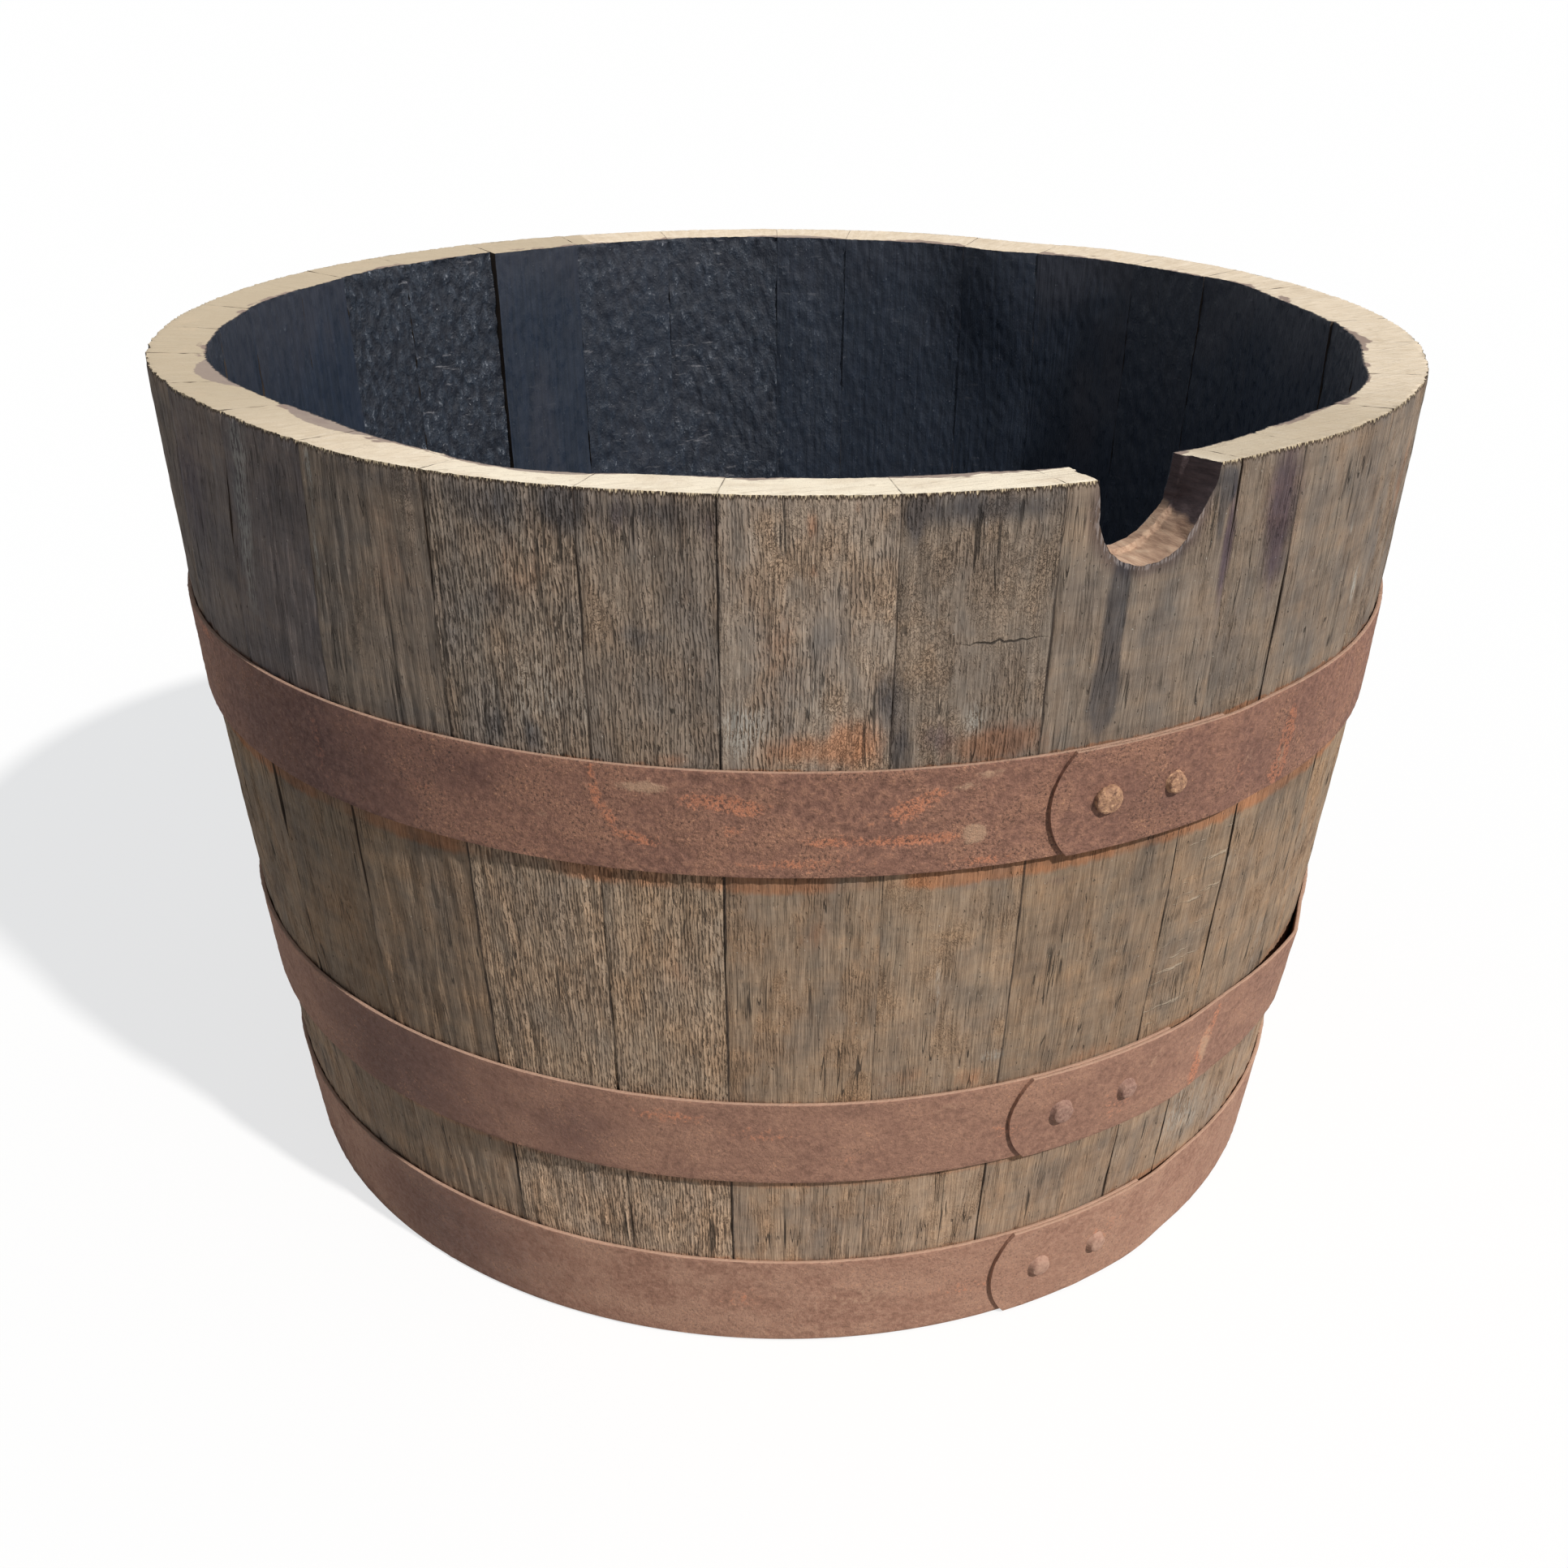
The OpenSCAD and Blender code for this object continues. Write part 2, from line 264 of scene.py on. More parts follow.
class Finish:
    """A surface finish built up from nodes. Each call adds its nodes and gives back the last one's level."""

    def __init__(self, name):
        self.material = bpy.data.materials.new(name)
        self.material.use_nodes = True
        self.nodes = self.material.node_tree.nodes
        self.links = self.material.node_tree.links
        self.surface = self.nodes["Principled BSDF"]

    def feed(self, socket, value):
        if isinstance(value, Level):
            self.links.new(value.socket, socket)
        else:
            socket.default_value = value

    def node(self, kind, inputs, **settings):
        node = self.nodes.new("ShaderNode" + kind)
        for name, value in settings.items():
            setattr(node, name, value)
        for name, value in inputs.items():
            self.feed(node.inputs[name], value)
        return node

    def add(self, kind, inputs, output=0, **settings):
        return Level(self, self.node(kind, inputs, **settings).outputs[output])

    def sum(self, kind, *values):
        return self.add("Math", dict(enumerate(values)), operation=kind)

    def most(self, a, b):
        return self.sum("MAXIMUM", a, b)

    def place(self):
        return self.add("TexCoord", {}, "Object")

    def read(self, attribute, output="Vector"):
        return self.add("Attribute", {}, output, attribute_name=attribute)

    def parts(self, place, kind="SeparateXYZ"):
        """The x, y and z of a place."""
        return [Level(self, part) for part in self.node(kind, {0: place}).outputs]

    def shares(self, colour):
        """The red, green and blue of a colour."""
        return self.parts(colour, "SeparateColor")

    def noise(self, place, scale, detail=4.0, roughness=0.55, distortion=0.0, turn=(0, 0, 0)):
        """Cloudy noise, finer along an axis the more its scale is."""
        stretched = self.add("Mapping", {"Vector": place, "Scale": scale, "Rotation": turn})
        inputs = {"Vector": stretched, "Scale": 1.0, "Detail": detail, "Roughness": roughness}
        return self.add("TexNoise", inputs | {"Distortion": distortion}, "Fac")

    def between(self, value, low, high, out_low=0.0, out_high=1.0):
        """Smooth step of a value from low to high."""
        inputs = {"Value": value, "From Min": low, "From Max": high, "To Min": out_low, "To Max": out_high}
        return self.add("MapRange", inputs, "Result", interpolation_type="SMOOTHSTEP")

    def ramp(self, value, stops):
        """The colour of a value, by stops that are each a place from 0 to 1 and a colour."""
        node = self.node("ValToRGB", {"Fac": value})
        marks = node.color_ramp.elements
        while len(marks) < len(stops):
            marks.new(0.5)
        for mark, (at, colour) in zip(marks, stops):
            mark.position = at
            mark.color = (*colour, 1)
        return Level(self, node.outputs["Color"])

    def mix(self, share, a, b, kind="MIX"):
        a, b = [(*colour, 1) if isinstance(colour, tuple) else colour for colour in (a, b)]
        return self.add("Mix", {0: share, 6: a, 7: b}, 2, data_type="RGBA", blend_type=kind)

    def tint(self, share, base, colour):
        """A colour laid over the base as a stain is, which leaves the base's own marks."""
        return self.mix(share, base, self.mix(1.0, base, colour, "MULTIPLY"))

    def blend(self, share, a, b):
        return self.add("Mix", {0: share, 2: a, 3: b}, data_type="FLOAT")

    def bump(self, height, distance, strength=1.0):
        return self.add("Bump", {"Height": height, "Distance": distance, "Strength": strength}, "Normal")

    def round_and_up(self, place):
        """The angle round the cask in degrees, and the height, of each point."""
        x, y, z = self.parts(place)
        return self.sum("DEGREES", self.sum("ARCTAN2", x, y * -1.0)), z

    def patch(self, around, height, at, size):
        """A soft-edged oval at an angle and a height, 1 inside and 0 outside."""
        across = (around - at[0]) / size[0]
        along = (height - at[1]) / size[1]
        far = self.sum("SQRT", abs(across) ** 2.0 + abs(along) ** 2.0)
        return self.between(far, 1.5, 0.5)

    def thin_lines(self, value, level, half_width):
        """1 along the lines on which a value has this level, which are thin and wander."""
        return self.between(abs(value - level), half_width, half_width * 0.3)

    def sway(self, board, scale, reach):
        """Lets the grain of a board wander sideways."""
        slow = self.noise(board, scale, detail=2) - 0.5
        aside = self.add("CombineXYZ", {"X": slow * reach})
        return self.add("VectorMath", {0: board, 1: aside}, operation="ADD")

    def finish(self, colour, roughness, normal, shine):
        inputs = {"Base Color": colour, "Roughness": roughness, "Normal": normal, "Specular IOR Level": shine}
        for name, value in inputs.items():
            self.feed(self.surface.inputs[name], value)
        return self.material


# Where each hoop has rusted the wood: its lower and upper edge, how far the rust runs below it, and how
# strong it is. The bilge hoop comes first, then the quarter hoop and the head hoop.
hoop_places = ((0.2825, 0.3325, 0.0095, 1.0), (0.1105, 0.1585, 0.006, 0.45), (0.001, 0.056, 0.004, 0.5))
bung_r, bung_off, bung_drop, bung_flare = 0.025, -0.002, 0.013, 0.0052


def weathered_oak():
    """The outer face of the staves: grey-brown oak with raised grain, stained by the hoops."""
    f = Finish("weathered_oak")
    board = f.read("board")
    lightness, warmth = f.shares(f.read("tone", "Color"))[:2]
    soot, purple, rust = f.shares(f.read("stains", "Color"))
    bleach = f.read("stains", "Alpha")
    place = f.place()
    around, height = f.round_and_up(place)
    swayed = f.sway(board, (35, 35, 7), 0.006)
    threads = f.noise(swayed, (1150, 1150, 55), detail=3, roughness=0.6)
    breaks = f.noise(swayed, (600, 600, 190), detail=3, roughness=0.6, distortion=0.3)
    curls = f.noise(swayed, (800, 800, 430), detail=2, roughness=0.6, distortion=0.7)
    bent = f.noise(swayed, (110, 110, 40), detail=3, roughness=0.6)
    row = f.parts(swayed)[0] * 620.0 + bent * 3.2
    row = f.sum("PINGPONG", row + breaks * 1.2, 0.5) * 2.0
    broad = f.noise(board, (30, 30, 17), detail=5, roughness=0.6)
    patches = f.noise(board, (52, 52, 30), detail=4, roughness=0.6)
    grain = f.read("grain", "Fac")
    woolly = f.read("tone", "Alpha") + (broad - 0.5) * 2.6
    strips = f.blend(0.5, row, f.between(breaks, 0.34, 0.66))
    curled = f.between(abs(curls - 0.5), 0.0, 0.08)
    relief = f.blend(f.between(woolly, 0.3, 1.1), strips, curled)
    raised = (relief - 0.5) * (grain * grain * 0.45)
    fine = (f.between(threads, 0.3, 0.7) - 0.5) * 0.26
    ridges = raised + fine + 0.5
    rough = f.between(grain + (patches - 0.5) * 1.3, 0.35, 1.0)
    grooves = f.between(relief, 0.36, 0.13) * rough
    # The ramp gives the oak its grain colour and also paints the light and shade of its relief: darker in the
    # hollows, lighter on the ridges.
    wood = f.ramp(ridges, [
        (0.0, (0.05, 0.038, 0.03)), (0.28, (0.14, 0.109, 0.083)), (0.5, (0.228, 0.182, 0.14)),
        (0.75, (0.33, 0.272, 0.213)), (1.0, (0.47, 0.4, 0.32))])
    clouding = f.ramp(broad, [(0.33, (0.72, 0.75, 0.8)), (0.5, (1.0, 0.985, 0.96)), (0.67, (1.18, 1.1, 1.0))])
    wood = f.mix(0.9, wood, clouding, "MULTIPLY")
    by_height = f.ramp(height / half_h, [
        (0.2, (1.54, 1.39, 1.3)), (0.3, (1.33, 1.2, 1.1)), (0.6, (1.25, 1.14, 1.05)),
        (0.75, (0.97, 0.965, 1.0))])
    wood = f.mix(1.0, wood, by_height, "MULTIPLY")
    sweeps = f.noise(f.sway(board, (20, 20, 20), 0.01), (14, 14, 85), detail=5, roughness=0.65)
    swept = f.between(grain, 0.9, 0.3, 0.2, 0.9)
    bands = f.ramp(sweeps, [(0.38, (0.83, 0.83, 0.84)), (0.5, (1.0, 1.0, 1.0)), (0.62, (1.13, 1.09, 1.04))])
    wood = f.tint(swept, wood, bands)
    # Staves with negative warmth, on the side turned from the lamp, are tinted blue here: painted shade.
    blue_shade = f.between(warmth, 0.0, -1.0)
    wood = f.tint(blue_shade, wood, (0.9, 0.98, 1.28))
    warm = f.between(patches, 0.46, 0.62)
    wood = f.tint(warm * warmth, wood, (1.13, 0.98, 0.84))
    cool = f.between(patches, 0.46, 0.34, 0.0, 0.6)
    wood = f.tint(cool, wood, (0.8, 0.86, 0.92))
    wood = f.mix(1.0, wood, f.add("CombineXYZ", {axis: lightness for axis in "XYZ"}), "MULTIPLY")

    checks = f.thin_lines(f.noise(swayed, (300, 300, 14), detail=1, roughness=0.5), 0.5, 0.014)
    checks = checks * f.between(f.noise(board, (60, 60, 20), detail=2), 0.52, 0.6)
    hairlines = f.thin_lines(f.noise(swayed, (620, 620, 22), detail=2), 0.5, 0.022)
    hairlines = hairlines * f.between(f.noise(board, (90, 90, 25), detail=3), 0.46, 0.66)
    pits = f.between(f.noise(board, (640, 640, 260), detail=2, roughness=0.6), 0.33, 0.29)
    dark = f.most(f.most(checks * 0.8, hairlines * 0.45), pits * 0.6)
    # The grooves' share of this darkening is painted shade in the hollows between the raised strips.
    dark = f.most(dark, grooves * 0.6)
    wander = (f.noise(board, (130, 130, 60), detail=3) - 0.5) * 0.006
    split = f.patch(around, height + wander, (-11.0, 0.3851), (2.5, 0.0005))
    dark = f.most(dark, split * 0.85)
    wood = f.mix(dark, wood, (0.030, 0.024, 0.020))
    # Small pale flecks: painted glints, highlights of the lamp on the grain.
    glint_flecks = f.between(f.noise(board, (800, 800, 560), detail=2, roughness=0.6), 0.69, 0.74)
    wood = f.mix(glint_flecks * 0.5, wood, (0.6, 0.56, 0.49))

    ragged = (f.noise(board, (150, 150, 50), detail=5, roughness=0.7) - 0.5) * 1.1
    sooty = f.between(soot + ragged * 0.9, 0.2, 0.95)
    wood = f.tint(sooty * 0.88, wood, (0.36, 0.41, 0.52))
    purpled = f.between(purple + ragged * 0.8, 0.18, 1.0)
    wood = f.tint(purpled * 0.95, wood, (0.42, 0.38, 0.56))
    pale = f.between(bleach + ragged * 0.9, 0.15, 0.95) * f.between(relief, 0.3, 0.62)
    wood = f.mix(pale * 0.55, wood, (0.44, 0.43, 0.39))
    rusty = rust + ragged * 0.9
    drift = f.noise(place, (16, 16, 1), detail=3)
    for low, high, reach, much in hoop_places:
        below = f.between(low - height + ragged * 0.006, reach * 1.35, reach * 0.7)
        above = f.between(height - high + ragged * 0.006, 0.0012, -0.001)
        band = below * above * (f.between(drift, 0.34, 0.54) * 0.8 + 0.34)
        rusty = f.most(rusty, band * much + ragged * 0.3)
    rusty = f.between(rusty, 0.12, 0.95)
    wood = f.tint(rusty, wood, (1.24, 0.86, 0.68))

    across, _, up = f.parts(board)
    from_hole = f.sum("SQRT", (across - bung_off) ** 2.0 + (up - (half_h - bung_drop)) ** 2.0)
    from_hole = from_hole - bung_r + ragged * 0.003
    # Wear darkens a band round the bung hole.
    edge_band = f.between(from_hole, 0.0085, 0.0015)
    wood = f.tint(edge_band * 0.75, wood, (0.48, 0.44, 0.52))
    rubbed = f.between(from_hole, 0.0026, 0.0012) * f.between(relief, 0.4, 0.6, 0.0, 0.35)
    wood = f.mix(rubbed, wood, (0.42, 0.37, 0.36))

    scores = f.read("scores", "Fac")
    strokes = f.between(f.noise(board, (22, 22, 330), detail=3, roughness=0.7), 0.58, 0.66) * scores
    wood = f.mix(strokes * 0.45, wood, (0.52, 0.43, 0.33))

    edge = f.read("edge", "Fac")
    joint = f.read("joint", "Fac")
    gape = f.noise(board, (1, 1, 18), detail=4, roughness=0.6)
    joint = joint * f.between(gape, 0.34, 0.56, 0.35, 1.0)
    seam = edge + ragged * 0.0006
    seam = f.between(seam, joint * 0.0008 + 0.00015, joint * 0.0004)
    wood = f.mix(seam * (joint * 0.65 + 0.25), wood, (0.034, 0.025, 0.021))
    drop = half_h - height
    hairs = f.noise(board, (1000, 1000, 60), detail=4, roughness=0.7)
    torn = f.between(hairs, 0.40, 0.68, 0.0, 0.0022)
    under = f.between(drop, torn + 0.0018, torn + 0.0008)
    wood = f.mix(under * 0.85, wood, (0.032, 0.019, 0.011))
    fresh = f.between(drop, torn + 0.0002, torn - 0.0002)
    wood = f.mix(fresh, wood, (0.52, 0.42, 0.28))
    surface = fine * 0.7 + f.between(relief, 0.15, 0.7) * rough
    normal = f.bump(surface + (strokes * 0.35 + dark * -0.9), 0.001)
    return f.finish(wood, f.between(relief, 0.3, 0.7, 0.95, 0.80), normal, shine=0.2)


def sawn_oak():
    """The saw cut: pale end grain, scored by the saw, worn brown along its inner edge."""
    f = Finish("sawn_oak")
    board = f.read("board")
    place = f.place()
    angle = f.round_and_up(place)[0]
    inner = f.parts(board)[1] / f.read("depth", "Fac")
    strokes = f.noise(place, (26, 700, 20), detail=3, roughness=0.6, turn=(0, 0, 0.45))
    rays = f.noise(board, (300, 80, 40), detail=4, roughness=0.6, distortion=0.6)
    pores = f.noise(board, (1300, 1000, 400), detail=3, roughness=0.65)
    cast = f.noise(board, (24, 50, 20), detail=4)
    blots = f.noise(board, (150, 150, 60), detail=3, roughness=0.6)
    wood = f.ramp(rays, [
        (0.25, (0.66, 0.535, 0.385)), (0.5, (0.755, 0.63, 0.475)), (0.75, (0.84, 0.725, 0.58))])
    front = f.between(abs(angle + 22.0), 42.0, 22.0)
    wood = f.mix(front * f.between(cast, 0.35, 0.55, 0.3, 0.9), wood, (0.92, 0.82, 0.65))
    left = f.between(angle, -52.0, -85.0)
    wood = f.mix(left * 0.8, wood, (0.46, 0.375, 0.26))
    right = f.between(angle, 3.0, 7.0) * f.between(angle, 40.0, 22.0)
    wood = f.mix(right * 0.6, wood, (0.43, 0.345, 0.235))
    wood = f.mix(f.between(cast, 0.55, 0.68, 0.0, 0.5), wood, (0.58, 0.46, 0.325))
    wood = f.mix(f.between(blots, 0.60, 0.72, 0.0, 0.4), wood, (0.50, 0.395, 0.28))
    wood = f.mix(f.between(strokes, 0.54, 0.70, 0.0, 0.40), wood, (0.40, 0.32, 0.23))
    wood = f.mix(f.between(pores, 0.40, 0.30, 0.0, 0.5), wood, (0.30, 0.225, 0.15))
    # The darkening along each joint on the saw cut is painted shade: the dark of the narrow gap between the
    # staves.
    seam = f.between(f.read("edge", "Fac"), 0.0005, 0.0001, 0.0, 0.4)
    wood = f.mix(seam, wood, (0.20, 0.155, 0.115))
    lean = inner + (cast - 0.5) * 1.7
    stain = f.between(lean, 0.93, 1.01)
    wood = f.mix(stain * 0.85, wood, (0.245, 0.175, 0.15))
    ragged = (rays - 0.5) * 0.12
    for at, reach, size in ((-68.5, 7.5, 0.34), (-90.5, 7.0, 0.40), (-43.7, 5.0, 0.22), (152.0, 6.0, 0.30)):
        off = abs((angle - at) / reach) ** 2.0
        least = off * size + (1.0 - size)
        lens = f.between(inner + ragged - least, 0.0, 0.03)
        wood = f.mix(lens * 0.9, wood, (0.3, 0.235, 0.2))
    burnt = f.between(inner + (rays - 0.5) * 0.1, 0.96, 0.99)
    wood = f.mix(burnt, wood, (0.050, 0.042, 0.042))
    normal = f.bump(strokes + pores * 0.5, 0.0006, 0.7)
    return f.finish(wood, 0.86, normal, shine=0.2)


def charred_oak():
    """The inner face: oak burnt black, dull where it is smooth and glossy where it has flaked."""
    f = Finish("charred_oak")
    board = f.read("board")
    warmth, flaky = f.shares(f.read("tone", "Color"))[1:]
    lines = f.noise(board, (420, 420, 16), detail=4, roughness=0.6)
    flakes = f.noise(board, (190, 190, 120), detail=6, roughness=0.68)
    crumbs = f.noise(board, (700, 700, 520), detail=3, roughness=0.65)
    soot = f.noise(board, (22, 22, 12), detail=5)
    # The blue cast of the smooth char is painted shade, the blue of sky-lit shade; the char itself is near
    # black.
    smooth = f.mix(f.between(lines, 0.35, 0.65), (0.011, 0.017, 0.029), (0.017, 0.025, 0.043))
    drop = half_h - f.round_and_up(f.place())[1]
    scorched = f.between(drop + (soot - 0.5) * 0.16, 0.045, 0.01)
    browned = f.most(f.between(soot, 0.52, 0.68), scorched)
    coat = f.mix(browned * (warmth * 0.7 + 0.05), smooth, (0.047, 0.045, 0.055))
    # The blue cast of the flaked char is painted shade in the same way.
    burnt = f.mix(f.between(flakes, 0.40, 0.68), (0.008, 0.011, 0.019), (0.029, 0.039, 0.057))
    coat = f.mix(flaky, coat, burnt)
    ash = f.between(flakes, 0.58, 0.7) * f.between(crumbs, 0.46, 0.58)
    coat = f.mix(ash * (flaky * 0.75 + 0.02), coat, (0.3, 0.32, 0.36))
    # Small pale specks on the char: painted glints, highlights on its glossy flakes.
    glint_specks = f.between(crumbs, 0.69, 0.74) * (flaky * 0.7 + 0.12)
    coat = f.mix(glint_specks, coat, (0.50, 0.52, 0.56))
    turned = f.noise(board, (60, 60, 300), detail=4, roughness=0.7, turn=(0, 0.75, 0))
    streaked = f.between(turned, 0.6, 0.68) * f.between(soot, 0.46, 0.56)
    coat = f.mix(streaked * (flaky * 0.6), coat, (0.22, 0.22, 0.24))
    gloss = f.between(flakes, 0.45, 0.7, 0.60, 0.30)
    height = f.blend(flaky, lines * 0.3, flakes + crumbs * 0.25)
    return f.finish(coat, gloss, f.bump(height, 0.0026, 0.85), shine=0.4)


def joint_oak():
    """The jointed edges of a stave, dark with what has seeped into them."""
    f = Finish("joint_oak")
    board = f.read("board")
    seep = f.noise(board, (90, 90, 30), detail=3)
    wood = f.ramp(seep, [(0.35, (0.030, 0.022, 0.018)), (0.65, (0.10, 0.072, 0.052))])
    return f.finish(wood, 0.85, f.bump(seep, 0.0005), shine=0.2)


stave_finishes = [weathered_oak(), sawn_oak(), charred_oak(), joint_oak()]


def flat_stave(name, width, depth):
    """A sawn board, gridded finely enough for its grain, before any working."""
    board = block(name, (-width / 2, 0, 0), (width / 2, depth, half_h))
    fine_step, cuts_along, cuts_through = 0.0014, 148, 7
    divide(board, 0, width / 2, round(width / fine_step))
    divide(board, 2, half_h / 2, cuts_along)
    divide(board, 1, depth / 2, cuts_through)
    arris, groove_side = 0.0005, 0.0004
    heights = [croze_low, croze_low + groove_side, croze_top - groove_side, croze_top]
    heights += [half_h - under_rim for under_rim in (0.0005, 0.0013, 0.0026)]
    saw_across(board, [((side * (width / 2 - arris), 0, 0), (1, 0, 0)) for side in (-1, 1)])
    saw_across(board, [((0, 0, z), (0, 0, 1)) for z in heights])
    return board


def work_stave(board, width, depth, flaky, shift):
    """Give the faces of a flat stave their grain, cracks, char and saw marks."""
    flat, lip_h, arris_w = 1e-5, 0.0035, 0.0006

    def outside(p):
        return 1.0 if p.y < flat else 0.0

    def inside(p):
        return 1.0 if p.y > depth - flat else 0.0

    def sawn(p):
        return 1.0 if p.z > half_h - flat else 0.0

    def lip(p):
        return max(0.0, 1 - (half_h - p.z) / lip_h) if p.y < flat else 0.0

    def arris(p):
        return 1.0 if p.y < flat and abs(p.x) > width / 2 - arris_w else 0.0

    for where in (outside, inside, sawn, lip, arris):
        group(board, where.__name__, where)
    workings = (
        (wave_texture, (0.030, 0.030, 0.12), 0.0006, "outside", "Y", 0.0),
        (grain_texture, (0.0026, 0.02, 0.030), 0.0006, "outside", "Y", 0.0),
        (crack_texture, (0.006, 0.02, 0.07), 0.0006, "outside", "Y", 0.0),
        (grain_texture, (0.004, 0.02, 0.03), 0.0005, "arris", "Y", 0.0),
        (fray_texture, (0.0022, 0.02, 0.006), 0.0012, "lip", "Y", 0.0),
        (wave_texture, (0.045, 0.045, 0.06), 0.0024, "inside", "Y", 0.5),
        (char_texture, (0.011, 0.011, 0.016), 0.0022 * flaky, "inside", "Y", 0.5),
        (fray_texture, (0.004, 0.004, 0.007), 0.0004 + 0.0018 * flaky, "inside", "Y", 0.5),
        (wave_texture, (0.03, 0.012, 0.03), -0.0005, "sawn", "Z", 0.0),
        (fray_texture, (0.005, 0.0016, 0.005), -0.0003, "sawn", "Z", 0.0),
    )
    for order, working in enumerate(workings):
        work(board, *working, shift=shift + order)


